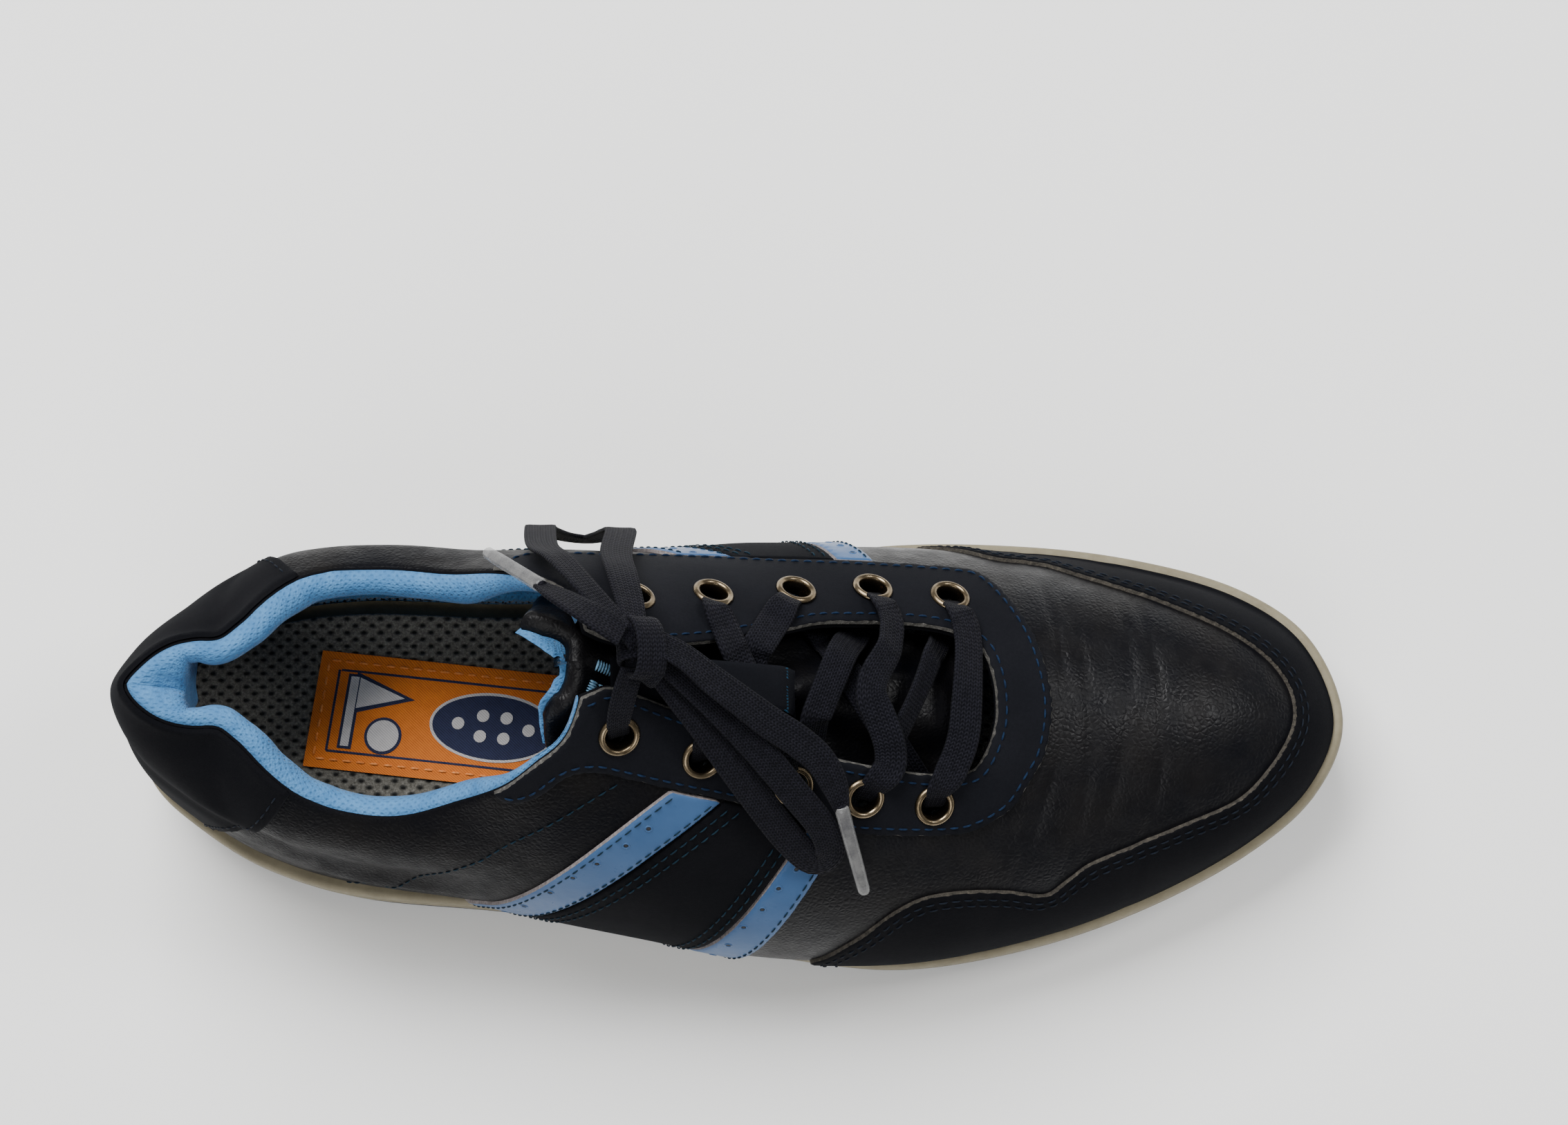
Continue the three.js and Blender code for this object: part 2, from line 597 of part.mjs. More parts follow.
function upper() {
  const pieces = {};
  const overlay = layer(OVERLAY).subtract(soleCut);
  const base = trimmed(layer(LEATHER));
  const lining = trimmed(dome((p) => -liningDepth(p) - LINING_THICKNESS, (p) => -liningDepth(p)));
  const front = aheadOf('lateral', SEAMS.lateral.vamp).add(aheadOf('medial', SEAMS.medial.vamp));
  const frontGrown = aheadOf('lateral', SEAMS.lateral.vamp, -GAP)
    .add(aheadOf('medial', SEAMS.medial.vamp, -GAP));
  const heelSeam = planPrism([[-10, 4.85], [40, 4.85], [40, 5.15], [-10, 5.15]]);

  [pieces.vamp] = largestFirst(base.intersect(front));
  const quarters = bySide(base.subtract(frontGrown).subtract(heelSeam));
  pieces.quarter_lateral = quarters.lateral;
  pieces.quarter_medial = quarters.medial;

  const eyestayBody = overlay.intersect(eyestayPrism).subtract(throatCut).subtract(toplineCut);
  [pieces.eyestay] = largestFirst(eyestayBody.subtract(eyeletHoles));
  pieces.toe_mudguard = largestFirst(overlay.subtract(mudguardInside))[0];
  [pieces.heel_overlay] = largestFirst(overlay.intersect(heelRegion).subtract(toplineCut));

  const around = planPrism(grown(EYESTAY, GAP), 35);
  const clear = overlay.subtract(around).subtract(planPrism([[150, -80], [320, -80], [320, 80], [150, 80]])
    .subtract(planPrism(grown([[-20, -80], [166, -80], ...MUDGUARD_EDGE, [184, 80], [-20, 80]], -GAP))));
  for (const side of ['lateral', 'medial']) {
    const seams = SEAMS[side];
    const piece = (back, ahead) =>
      largestFirst(clear.intersect(between(side, back, ahead, GAP)).subtract(toplineCut))[0];
    pieces[`stripe_rear_${side}`] = piece(seams.rearStripeBack, seams.rearStripeFront);
    pieces[`side_panel_${side}`] = piece(seams.rearStripeFront, seams.frontStripeBack);
    pieces[`stripe_front_${side}`] = piece(seams.frontStripeBack, seams.frontStripeFront);
  }

  const halves = 150;
  const frontHalf = planPrism([[halves, -80], [330, -80], [330, 80], [halves, 80]]);
  const rearHalf = planPrism([[-30, -80], [halves - GAP, -80], [halves - GAP, 80], [-30, 80]]);
  [pieces.vamp_lining] = largestFirst(lining.intersect(frontHalf));
  [pieces.collar_lining] = largestFirst(lining.intersect(rearHalf));

  const stiffener = layer(STIFFENER).subtract(soleCut);
  const heelCup = sidePrism([[-20, 15], [78, 15], [70, 40], [52, 60], [-20, 62]]);
  [pieces.heel_stiffener] = largestFirst(stiffener.intersect(heelCup));
  const toeBox = planPrism([[250, -80], [330, -80], [330, 80], [250, 80]]);
  [pieces.toe_puff] = largestFirst(stiffener.intersect(toeBox));

  const padding = dome((p) => -liningDepth(p) + 2 * GAP, () => STIFFENER[0] - GAP);
  const collarBand = sidePrism([[-20, 66], [40, 64], [70, 58], [98, 66], [98, 120], [-20, 120]]);
  [pieces.collar_foam] = largestFirst(padding.intersect(collarBand).subtract(toplineCut));
  return pieces;
}

// ---------------------------------------------------------------- tongue

// How far inside the throat a point in plan is, negative outside.
function throatInset(x, y) {
  let nearest = Infinity;
  let inside = false;
  THROAT.forEach(([px, py], i) => {
    const [qx, qy] = THROAT[(i + 1) % THROAT.length];
    const t = THREE.MathUtils.clamp(
      ((x - px) * (qx - px) + (y - py) * (qy - py)) / ((qx - px) ** 2 + (qy - py) ** 2), 0, 1);
    nearest = Math.min(nearest, Math.hypot(px + t * (qx - px) - x, py + t * (qy - py) - y));
    if ((py > y) !== (qy > y) && x < px + (qx - px) * (y - py) / (qy - py)) inside = !inside;
  });
  return inside ? nearest : -nearest;
}

// The tongue lies under the edges of the throat and swells up between them.
function tongueTop(x, y) {
  return TONGUE.crown * smooth((throatInset(x, y) - 5) / 8) - TONGUE.edgeDepth;
}

function heightAt(x, y) {
  const { a, s } = fromAbove(x, y);
  return lastPoint(a, s).z;
}

// A point over x, y in plan, d above the base leather's surface, and the way the surface faces there.
function overAt(x, y, d) {
  const e = 2.5;
  const normal = new THREE.Vector3(
    (heightAt(x - e, y) - heightAt(x + e, y)) / (2 * e),
    (heightAt(x, y - e) - heightAt(x, y + e)) / (2 * e), 1).normalize();
  return { point: new THREE.Vector3(x, y, heightAt(x, y) + d / Math.max(normal.z, 0.5)), normal };
}

// A point of the tongue's upper face: u from its top to its base, v across it.
function tongueFace(u, v) {
  const x = THREE.MathUtils.lerp(TONGUE.top, TONGUE.base, u);
  const half = THREE.MathUtils.lerp(TONGUE.halfWidthTop, TONGUE.halfWidthBase, u);
  const y = profile(RIDGE_SIDE, x) + half * (2 * v - 1);
  return overAt(x, y, tongueTop(x, y)).point;
}

const TONGUE_GRID = { columns: 10, rows: 6 };
const tongueFaces = Array.from({ length: TONGUE_GRID.columns + 1 }, (_, i) =>
  Array.from({ length: TONGUE_GRID.rows + 1 }, (__, j) =>
    tongueFace(i / TONGUE_GRID.columns, j / TONGUE_GRID.rows)));

function tonguePoint(u, v, depth) {
  const { columns, rows } = TONGUE_GRID;
  const i = Math.round(u * columns);
  const j = Math.round(v * rows);
  const ends = (k, last) => [Math.max(k - 1, 0), Math.min(k + 1, last)];
  const [i0, i1] = ends(i, columns);
  const [j0, j1] = ends(j, rows);
  const along = tongueFaces[i1][j].clone().sub(tongueFaces[i0][j]);
  const across = tongueFaces[i][j1].clone().sub(tongueFaces[i][j0]);
  return tongueFaces[i][j].clone().addScaledVector(along.cross(across).normalize(), -depth);
}

function tongueLayer([top, bottom]) {
  const { columns, rows } = TONGUE_GRID;
  return gridSolid(columns, rows, (u, v) => tonguePoint(u, v, top), (u, v) => tonguePoint(u, v, bottom));
}

// The keeper is a strap along the tongue, raised where the laces pass under it.
function laceKeeper() {
  const { rear, front, centre, half, thickness, hump, middle } = KEEPER;
  const point = (u, v, z) => {
    const x = THREE.MathUtils.lerp(rear, front, u);
    const width = THREE.MathUtils.lerp(half[0], half[1], u);
    const y = THREE.MathUtils.lerp(centre[0], centre[1], u) + width * (2 * v - 1);
    const flat = tongueTop(x, y) + 2 - smooth((x - rear) / 8);
    const bottom = THREE.MathUtils.lerp(flat, hump, smooth((12.4 - Math.abs(x - middle)) / 4));
    return overAt(x, y, bottom + z).point;
  };
  return gridSolid(14, 2, (u, v) => point(u, v, thickness), (u, v) => point(u, v, 0));
}

// ---------------------------------------------------------------- eyelets and laces

function eyelet(place) {
  const { hole, barrel, flange, seat, foot } = EYELET;
  const section = [
    [hole, foot], [barrel, foot], [barrel, seat], [flange, seat], [flange, seat + 0.4],
    [flange - 0.9, seat + 1], [hole + 0.3, seat + 0.8], [hole, foot],
  ].map(([r, h]) => new THREE.Vector2(r, h));
  return toSolid(turnedTo(place, new THREE.LatheGeometry(section, 8)));
}

// A flat lace along a smooth route. Each stop is a place and the way the lace's flat side faces.
function ribbon(stops, steps) {
  const path = new THREE.CatmullRomCurve3(stops.map((stop) => stop.point));
  const facing = new THREE.CatmullRomCurve3(stops.map((stop) => stop.normal));
  const w = LACE.width / 2;
  const t = LACE.thickness / 2;
  const section = [[w, 0], [w * 0.86, t], [-w * 0.86, t], [-w, 0], [-w * 0.86, -t], [w * 0.86, -t]];
  const rings = Array.from({ length: steps + 1 }, (_, i) => {
    const u = i / steps;
    const centre = path.getPoint(u);
    const along = path.getTangent(u);
    const across = along.clone().cross(facing.getPoint(u)).normalize();
    const up = across.clone().cross(along).normalize();
    return section.map(([p, q]) => centre.clone().addScaledVector(across, p).addScaledVector(up, q));
  });
  return ringSolid(rings);
}

// A stop of a lace's route: x, y in plan and d above the base leather.
function stop([x, y, d]) {
  return overAt(x, y, d);
}

// A stop on the inner side wall, where the surface is too steep to place from above.
function wallStop([x, s, d]) {
  const a = placeAt(x, s, 'medial');
  return { point: layerPoint(a, s, d), normal: lastNormal(a, s) };
}

const STRAND = { overEyestay: 2.8, overFlange: 4.4, underLining: [-7.3, -5.9], tongueLevel: -1.8, layer: 2.8 };

// A strand between two eyelets. It runs over or under the facings, and level in the throat.
function strand(from, to, { under = false, level = 0 }) {
  const count = 15;
  const stops = Array.from({ length: count }, (_, i) => {
    const f = i / (count - 1);
    const x = THREE.MathUtils.lerp(from[0], to[0], f);
    const y = THREE.MathUtils.lerp(from[1], to[1], f);
    const toEyelet = Math.min(Math.hypot(x - from[0], y - from[1]), Math.hypot(x - to[0], y - to[1]));
    const middle = STRAND.tongueLevel + STRAND.layer * level;
    if (under) {
      const rise = smooth((throatInset(x, y) - 3.8 + 1.8 * level) / (7 - 1.5 * level));
      return stop([x, y, THREE.MathUtils.lerp(STRAND.underLining[level], middle, rise)]);
    }
    const resting = STRAND.overEyestay + 0.9 * level;
    const outside = THREE.MathUtils.lerp(STRAND.overFlange, resting, smooth((toEyelet - 5.5) / 3));
    return stop([x, y, THREE.MathUtils.lerp(outside, middle, smooth((throatInset(x, y) - 2.5) / 4))]);
  });
  return ribbon(stops, 13);
}

const KNOT = { x: 137, y: 8, d: 9.5, size: [6, 7, 4.5] };

const LOOP_OUTER = [
  [139, 6, 10], [145, -1, 8], [150, -7, 7.2], [156, -15, 6.6], [163, -24, 5.2], [169, -31, 4],
  [174, -35, 4], [177.5, -33, 5.2], [176, -28, 6.6], [170, -21, 8], [162, -12, 8.8], [154, -4, 9.6],
  [147, 2, 10.4], [141, 6.5, 10.8],
];
const LOOP_INNER_START = [[136, 12, 10.5], [134.5, 19, 8.5], [132, 27, 7], [129.5, 34, 6]];
const LOOP_INNER_WALL = [
  [128, 0.36, 5.5], [126, 0.28, 5], [123, 0.2, 4.6], [118, 0.15, 4.4], [112, 0.17, 4.6],
  [109, 0.24, 5], [109.5, 0.32, 5.4],
];
const LOOP_INNER_END = [[113, 35, 6.4], [118, 30, 7.2], [124, 23, 8], [130, 16, 9], [134, 11.5, 10]];
const TAIL_OUTER = [
  [141, 9, 13.4], [147, 6, 13.6], [153, 1.5, 13], [159, -2.5, 12], [165, -6.5, 11], [171, -10, 10.4],
  [176, -14, 10], [179, -19, 9.4], [180.5, -24, 8.8],
];
const TAIL_INNER = [[134, 10, 13.4], [130, 12.5, 12.8], [125, 15.5, 11], [119.5, 19, 8.4], [115, 22, 6]];
const RISE_OUTER = [[131, -9, 4.3], [132.5, -5.5, 5], [134, -1.5, 6.8], [135.5, 2.5, 8.5]];
const RISE_INNER = [[134, 22, 4.3], [134.5, 19, 4.8], [135, 15.5, 5.8], [135.5, 12.5, 7.5]];

function knotBody(grow) {
  const { point, normal } = stop([KNOT.x, KNOT.y, KNOT.d]);
  const ball = new THREE.SphereGeometry(1, 10, 6).rotateX(Math.PI / 2);
  ball.scale(...KNOT.size.map((r) => r + grow));
  const turn = new THREE.Quaternion().setFromUnitVectors(new THREE.Vector3(0, 0, 1), normal);
  return toSolid(ball.applyQuaternion(turn).translate(point.x, point.y, point.z));
}

function laceRoutes() {
  return {
    lace_loop_outer: [LOOP_OUTER.map(stop), 26],
    lace_loop_inner: [[...LOOP_INNER_START.map(stop), ...LOOP_INNER_WALL.map(wallStop),
      ...LOOP_INNER_END.map(stop)], 30],
    lace_tail_outer: [TAIL_OUTER.map(stop), 12],
    lace_tail_inner: [TAIL_INNER.map(stop), 8],
    lace_rise_outer: [RISE_OUTER.map(stop), 6],
    lace_rise_inner: [RISE_INNER.map(stop), 6],
  };
}

// The moulded tip of a lace: a rod that carries on from the lace's last stop.
function aglet(route, towards) {
  const start = stop(route[route.length - 1]).point;
  const end = towards;
  const along = end.clone().sub(start).normalize();
  const rod = new THREE.CylinderGeometry(AGLET.radius, AGLET.radius, AGLET.length, 10);
  rod.translate(0, AGLET.length / 2 + GAP, 0);
  const turn = new THREE.Quaternion().setFromUnitVectors(new THREE.Vector3(0, 1, 0), along);
  return toSolid(rod.applyQuaternion(turn).translate(start.x, start.y, start.z));
}

function laces() {
  const L = EYELETS.lateral;
  const M = EYELETS.medial;
  // Eyelet 5 is the one nearest the toe.
  const pieces = {
    lace_bar_1: strand(M[4], L[4], { level: 2 }),
    lace_bar_2: strand(M[3], L[3], { level: 2 }),
    lace_cross_1: strand(M[2], L[1], { level: 0 }),
    lace_cross_2: strand(L[2], M[1], { level: 1 }),
    lace_under_1: strand(M[4], L[3], { under: true, level: 1 }),
    lace_under_2: strand(L[4], M[2], { under: true, level: 0 }),
    lace_under_3: strand(M[3], L[2], { under: true, level: 1 }),
    lace_under_4: strand(L[1], L[0], { under: true, level: 1 }),
    lace_under_5: strand(M[1], M[0], { under: true, level: 1 }),
    lace_knot: knotBody(0),
  };
  const room = knotBody(GAP);
  for (const [name, [stops, steps]] of Object.entries(laceRoutes())) {
    [pieces[name]] = largestFirst(ribbon(stops, steps).subtract(room));
  }
  pieces.aglet_outer = aglet(TAIL_OUTER, stop([185, -41, 8]).point);
  pieces.aglet_inner = aglet(TAIL_INNER, new THREE.Vector3(93, 38.5, 92));
  return pieces;
}

// ---------------------------------------------------------------- assembly

const MATERIALS = Object.fromEntries(Object.entries({
  leather: [0.45, 0], nubuck: [0.95, 0], eyestay: [0.85, 0], stripe: [0.25, 0], lining: [0.9, 0],
  midsole: [0.7, 0], outsole: [0.75, 0], foam: [0.95, 0], board: [0.9, 0], steel: [0.35, 1],
  stiffener: [0.85, 0], footbed: [0.95, 0], label: [0.8, 0], brass: [0.4, 0.9], lace: [0.9, 0],
  aglet: [0.15, 0],
}).map(([name, [roughness, metalness]]) =>
  [name, new THREE.MeshStandardMaterial({ color: COLOURS[name], roughness, metalness })]));

const golfShoe = new THREE.Group();
golfShoe.position.set(-ORIGIN.x, -ORIGIN.y, 0);

function addPiece(name, solid, material) {
  const { numProp, vertProperties, triVerts } = solid.getMesh();
  const points = new Float32Array((vertProperties.length / numProp) * 3);
  for (let i = 0; i < points.length / 3; i += 1) {
    for (let k = 0; k < 3; k += 1) points[3 * i + k] = vertProperties[i * numProp + k];
  }
  const geometry = new THREE.BufferGeometry();
  geometry.setAttribute('position', new THREE.BufferAttribute(points, 3));
  geometry.setIndex(new THREE.BufferAttribute(new Uint32Array(triVerts), 1));
  const mesh = new THREE.Mesh(geometry, MATERIALS[material]);
  mesh.name = name;
  golfShoe.add(mesh);
}

const UPPER_MATERIALS = {
  vamp: 'leather', quarter_lateral: 'leather', quarter_medial: 'leather', eyestay: 'eyestay',
  toe_mudguard: 'nubuck', heel_overlay: 'nubuck', side_panel_lateral: 'nubuck',
  side_panel_medial: 'nubuck', stripe_rear_lateral: 'stripe', stripe_rear_medial: 'stripe',
  stripe_front_lateral: 'stripe', stripe_front_medial: 'stripe', vamp_lining: 'lining',
  collar_lining: 'lining', heel_stiffener: 'stiffener', toe_puff: 'stiffener', collar_foam: 'foam',
};

addPiece('outsole', outsole(), 'outsole');
addPiece('midsole', midsole(), 'midsole');
addPiece('shank', shank(), 'steel');
addPiece('insole_board', slab(BOARD.inset, (x) => soleTop(x) + GAP, boardTop), 'board');
addPiece('footbed', slab(FOOTBED.inset, (x) => boardTop(x) + GAP, footbedTop), 'footbed');
addPiece('footbed_label', footbedLabel(), 'label');
for (const [name, solid] of Object.entries(upper())) addPiece(name, solid, UPPER_MATERIALS[name]);
const TONGUE_MATERIALS = { tongue_outer: 'leather', tongue_foam: 'foam', tongue_lining: 'lining' };
for (const [name, depths] of Object.entries(TONGUE_LAYERS)) {
  addPiece(name, tongueLayer(depths), TONGUE_MATERIALS[name]);
}
addPiece('lace_keeper', laceKeeper(), 'leather');
for (const place of PLACES) addPiece(place.name, eyelet(place), 'brass');
for (const [name, solid] of Object.entries(laces())) {
  addPiece(name, solid, name.startsWith('aglet') ? 'aglet' : 'lace');
}

export default golfShoe;
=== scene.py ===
"""A right-foot lace-up golf shoe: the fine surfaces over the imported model.

All shapes are worked out in millimetres in the shoe's own frame (x from heel to toe, y towards the
inner side, z up from the ground) and moved to the row frame in metres when a mesh is made.
"""
import math

import bpy
import numpy as np
from mathutils import Matrix, Vector


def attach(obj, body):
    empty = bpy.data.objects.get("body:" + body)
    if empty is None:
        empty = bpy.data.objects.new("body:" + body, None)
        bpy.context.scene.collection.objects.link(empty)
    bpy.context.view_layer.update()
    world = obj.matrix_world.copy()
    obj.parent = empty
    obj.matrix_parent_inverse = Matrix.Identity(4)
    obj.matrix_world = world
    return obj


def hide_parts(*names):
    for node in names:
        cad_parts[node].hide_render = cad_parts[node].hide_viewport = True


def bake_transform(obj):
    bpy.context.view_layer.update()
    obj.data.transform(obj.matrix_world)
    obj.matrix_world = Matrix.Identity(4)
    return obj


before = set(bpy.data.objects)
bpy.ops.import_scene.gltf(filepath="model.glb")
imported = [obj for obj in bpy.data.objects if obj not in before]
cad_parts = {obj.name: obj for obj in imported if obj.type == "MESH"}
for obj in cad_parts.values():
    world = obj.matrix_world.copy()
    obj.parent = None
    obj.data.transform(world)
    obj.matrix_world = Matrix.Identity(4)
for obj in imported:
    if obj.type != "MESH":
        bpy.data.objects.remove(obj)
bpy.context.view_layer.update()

# ---------------------------------------------------------------- driving dimensions, in millimetres

ORIGIN = np.array([152.25, -2.75, 0.0])
AROUND = 800
LEVELS = 131

SOLE_OUTLINE = np.array([
    [5, 5], [10, -10], [22, -21], [38, -30.5], [60, -37], [95, -40.5], [130, -45.5],
    [160, -51.5], [192, -55], [224, -50], [252, -40.5], [277, -27.5], [293, -13.5],
    [299.5, 4], [292, 24], [275, 37], [250, 45], [222, 49], [190, 49.5], [158, 45],
    [128, 39.5], [95, 38.5], [62, 39.5], [38, 36.5], [22, 29.5], [11, 19],
])
FEATHER_INSET = 3.0
SOLE_TOP = [[0, 27], [60, 26], [120, 23], [180, 20], [225, 20], [265, 23], [300, 29]]
RIDGE_HEIGHT = [
    [0, 128], [40, 132], [80, 130], [112, 118], [135, 104], [160, 90], [190, 75.5],
    [215, 65.5], [240, 58.5], [265, 53], [285, 47], [300, 40],
]
RIDGE_SIDE = [[0, 5], [60, 5], [110, 7], [135, 7], [160, 5.5], [205, 3], [250, 1], [300, 2]]
LEAN_OUTER = [[36, 1.2], [60, 2.2], [90, 2.3], [118, 1.8], [150, 1.35], [200, 1.1], [300, 0.9]]
LEAN_INNER = [[36, 1.4], [50, 1.8], [90, 1.7], [110, 1.3], [150, 1.15], [200, 1.05], [300, 0.9]]
BULGE_OUTER = [
    [8, 0.5], [60, 1], [85, 3.5], [110, 6.5], [140, 7.5], [165, 6], [190, 2.5], [215, 1], [250, 0],
    [300, -0.8],
]
BULGE_INNER = [
    [8, 0.5], [25, 2], [45, 6.5], [75, 8], [112, 8], [150, 5.5], [187, 1.2], [215, -0.8],
    [245, -2.6], [282, -2.8], [300, -1.5],
]
TOPLINE = [
    [4, 90], [30, 89], [45, 86], [55, 81], [66, 78], [76, 78], [86, 81], [95, 86], [103, 92],
    [112, 99], [121, 104], [130, 118],
]
TOPLINE_TILT = 0.05
TOE_SPRING = (225, 9)
HEEL_BEVEL = (25, 3)

# How far the collar's sides draw together behind the ankle, as a share of their distance from the middle.
HEEL_PINCH = [
    [6, 0.5], [14, 0.45], [20, 0.34], [26, 0.3], [32, 0.35], [38, 0.41], [42, 0.32], [47, 0.17],
    [54, 0.05], [62, 0],
]
THROAT = [
    [100, -18], [106, -13], [113, -8.6], [120, -3.8], [126, -0.6], [131, 0.6], [145, -3.5], [160, -7.5],
    [179, -11.8], [194, -13.9], [204, -14.2], [210, -13], [213, -9], [215, -3.9], [215.7, 1.2],
    [215, 8.5], [212, 15.5], [205, 19.3], [195, 20.5], [182.5, 20], [174.7, 19.1], [167.5, 16.8],
    [158.7, 14.5], [151, 12.2], [140, 10.5], [131, 10.5], [124, 13], [117, 18.2], [111.5, 22.8],
    [107, 25.6], [100, 26],
]
EYESTAY = [
    [90, -14], [97, -16], [101, -20], [105.5, -22.8], [112, -22], [119, -18], [125, -16.8],
    [132, -17.8], [143.5, -20], [155, -22], [167, -24.6], [176, -27.3], [187, -28], [203, -27.6],
    [211, -26], [219, -21.3], [224.3, -13.8], [227, -9], [228.8, 0], [228, 9], [224.7, 19.5],
    [219, 29], [212.5, 35.5], [205, 37], [186, 37], [161, 37], [137, 36.5], [122, 35.5], [112, 35],
    [106, 33.5], [101, 30], [96, 26], [90, 24],
]
MUDGUARD_EDGE = [
    [166, -62], [167, -55], [175, -53], [183, -49.5], [192, -43.8], [199, -40.7], [209, -39.2],
    [219, -39.2], [227, -39.6], [232.3, -36.3], [238, -32.5], [248, -28.4], [260, -23.2], [273, -16.9],
    [280.5, -9.3], [285, -1.7], [286.2, 4], [284.8, 10], [280, 16.3], [271, 22.8], [259.5, 28.2],
    [248, 33], [238, 36.5], [232, 39], [226, 41.2], [216, 41.6], [203, 46], [190, 49], [184, 62],
]
# Seams up the sides: x at the sole and how far x moves forward from the sole to the ridge.
SEAMS = {
    "lateral": {
        "rear_back": (86, 89), "rear_front": (97, 88.7), "front_back": (137.5, 57),
        "front_front": (148.9, 52.6), "vamp": (143, 55),
    },
    "medial": {
        "rear_back": (112, 72), "rear_front": (122, 76), "front_back": (163.5, 34),
        "front_front": (173.5, 32), "vamp": (168.5, 33),
    },
}
HEEL_OVERLAY_EDGE = [[58, 96], [56, 84], [50, 74], [42, 63], [34, 51], [28, 38], [25, 18]]
EYELETS = {
    "lateral": [(131, -9), (149, -13), (169, -18), (185, -20), (201, -21)],
    "medial": [(134, 22), (151, 24.5), (169.5, 27), (187, 29), (205, 28)],
}
EYELET_BORE = 3.4
COLLAR_REACH = 128
OVERLAY_TOP = 1.15
OVERLAY_UNDER = 0.03
LEATHER_INSIDE = -1.3
COLLAR_THICKNESS = 3.2
COLLAR_PADDING = 5.5
COLLAR_ENDS = 124.0
HEEL_NOTCH = 31.0
CREASES = ((221, 0.10, 0.4), (231, -0.07, 0.65), (238, 0.05, 0.45), (247, -0.1, 0.35), (255, 0.04, 0.4))
GIRTH, WALL = 680, 92  # the upper's mean length round and up, for its uv in millimetres
LACE_WIDTH = 7.5
LACE_THICKNESS = 1.0

CAMERA_AT = (60.5, -129.5, 931.2)
CAMERA_TARGET = (10.75, 51.75, 0.0)
CAMERA_LENS = 86.41

# ---------------------------------------------------------------- the last's surface


def smooth(t):
    t = np.clip(t, 0, 1)
    return t * t * (3 - 2 * t)


def profile(table, x):
    """A smooth curve through a table of [x, value] pairs, level outside it."""
    knots = np.array(table, float)
    kx, ky = knots[:, 0], knots[:, 1]
    x = np.clip(x, kx[0], kx[-1])
    step = np.diff(kx)
    slope = np.diff(ky) / step
    tangent = np.empty(len(kx))
    tangent[0], tangent[-1] = slope[0], slope[-1]
    tangent[1:-1] = (slope[:-1] * step[1:] + slope[1:] * step[:-1]) / (step[1:] + step[:-1])
    i = np.clip(np.searchsorted(kx, x, side="right") - 1, 0, len(kx) - 2)
    w = kx[i + 1] - kx[i]
    u = (x - kx[i]) / w
    return (ky[i] * (2 * u**3 - 3 * u**2 + 1) + ky[i + 1] * (3 * u**2 - 2 * u**3)
            + tangent[i] * w * (u**3 - 2 * u**2 + u) + tangent[i + 1] * w * (u**3 - u**2))


def unit(vectors):
    return vectors / np.linalg.norm(vectors, axis=-1, keepdims=True)


def catmull_rom(p0, p1, p2, p3, u):
    return 0.5 * (2 * p1 + (p2 - p0) * u + (2 * p0 - 5 * p1 + 4 * p2 - p3) * u**2
                  + (3 * p1 - p0 - 3 * p2 + p3) * u**3)


def closed_curve(points, t):
    """Points of the closed curve through points, at t from 0 to 1."""
    n = len(points)
    where = (np.asarray(t) % 1) * n
    i = np.floor(where).astype(int)
    return catmull_rom(*(points[(i + k) % n] for k in (-1, 0, 1, 2)), (where - i)[..., None])


def run_along(points):
    """The length of a line from its start up to each of its points."""
    return np.concatenate([[0], np.cumsum(np.linalg.norm(np.diff(points, axis=0), axis=1))])


def through(stops, count):
    """A smooth open curve through stops, evenly spaced along its length in space."""
    stops = np.array(stops, float)
    padded = np.concatenate([2 * stops[:1] - stops[1:2], stops, 2 * stops[-1:] - stops[-2:-1]])
    t = np.linspace(0, len(stops) - 1 - 1e-6, count * 6)
    i = t.astype(int)
    fine = catmull_rom(*(padded[i + k] for k in range(4)), (t - i)[:, None])
    run = run_along(fine[:, :3])
    where = np.linspace(0, run[-1], count)
    return np.stack([np.interp(where, run, column) for column in fine.T], -1)


def outline(a, inset=0.0):
    """A point of the sole's outline moved inwards, and its outward direction."""
    a = np.asarray(a)
    p = closed_curve(SOLE_OUTLINE, a)
    along = unit(closed_curve(SOLE_OUTLINE, a + 0.0005) - closed_curve(SOLE_OUTLINE, a - 0.0005))
    out = np.stack([along[..., 1], -along[..., 0]], -1)
    return p - out * np.asarray(inset)[..., None], out


def ground(x):
    """The underside's height, with the toe's spring and the heel's bevel."""
    toe = np.maximum(0, (x - TOE_SPRING[0]) / (300 - TOE_SPRING[0]))
    heel = np.maximum(0, (HEEL_BEVEL[0] - x) / HEEL_BEVEL[0])
    return TOE_SPRING[1] * toe**2 + HEEL_BEVEL[1] * heel**2


def sole_top(x):
    return profile(SOLE_TOP, x)


def ridge_x(x):
    """Where the ridge lies for a place on the sole: it stops short of both tips."""
    rear, front, ease = 66.0, 235.0, 32.0
    return np.where(x > front, front + ease * (1 - np.exp((front - x) / ease)),
                    np.where(x < rear, rear - ease * (1 - np.exp((x - rear) / ease)), x))


def collar_pinch(x, z):
    """The share by which the sides draw in towards the middle."""
    heel = profile(HEEL_PINCH, x)
    ankle = 0.12 * (1 - smooth((x - 85) / 30))
    return (heel + ankle) * smooth((z - 66) / 22)


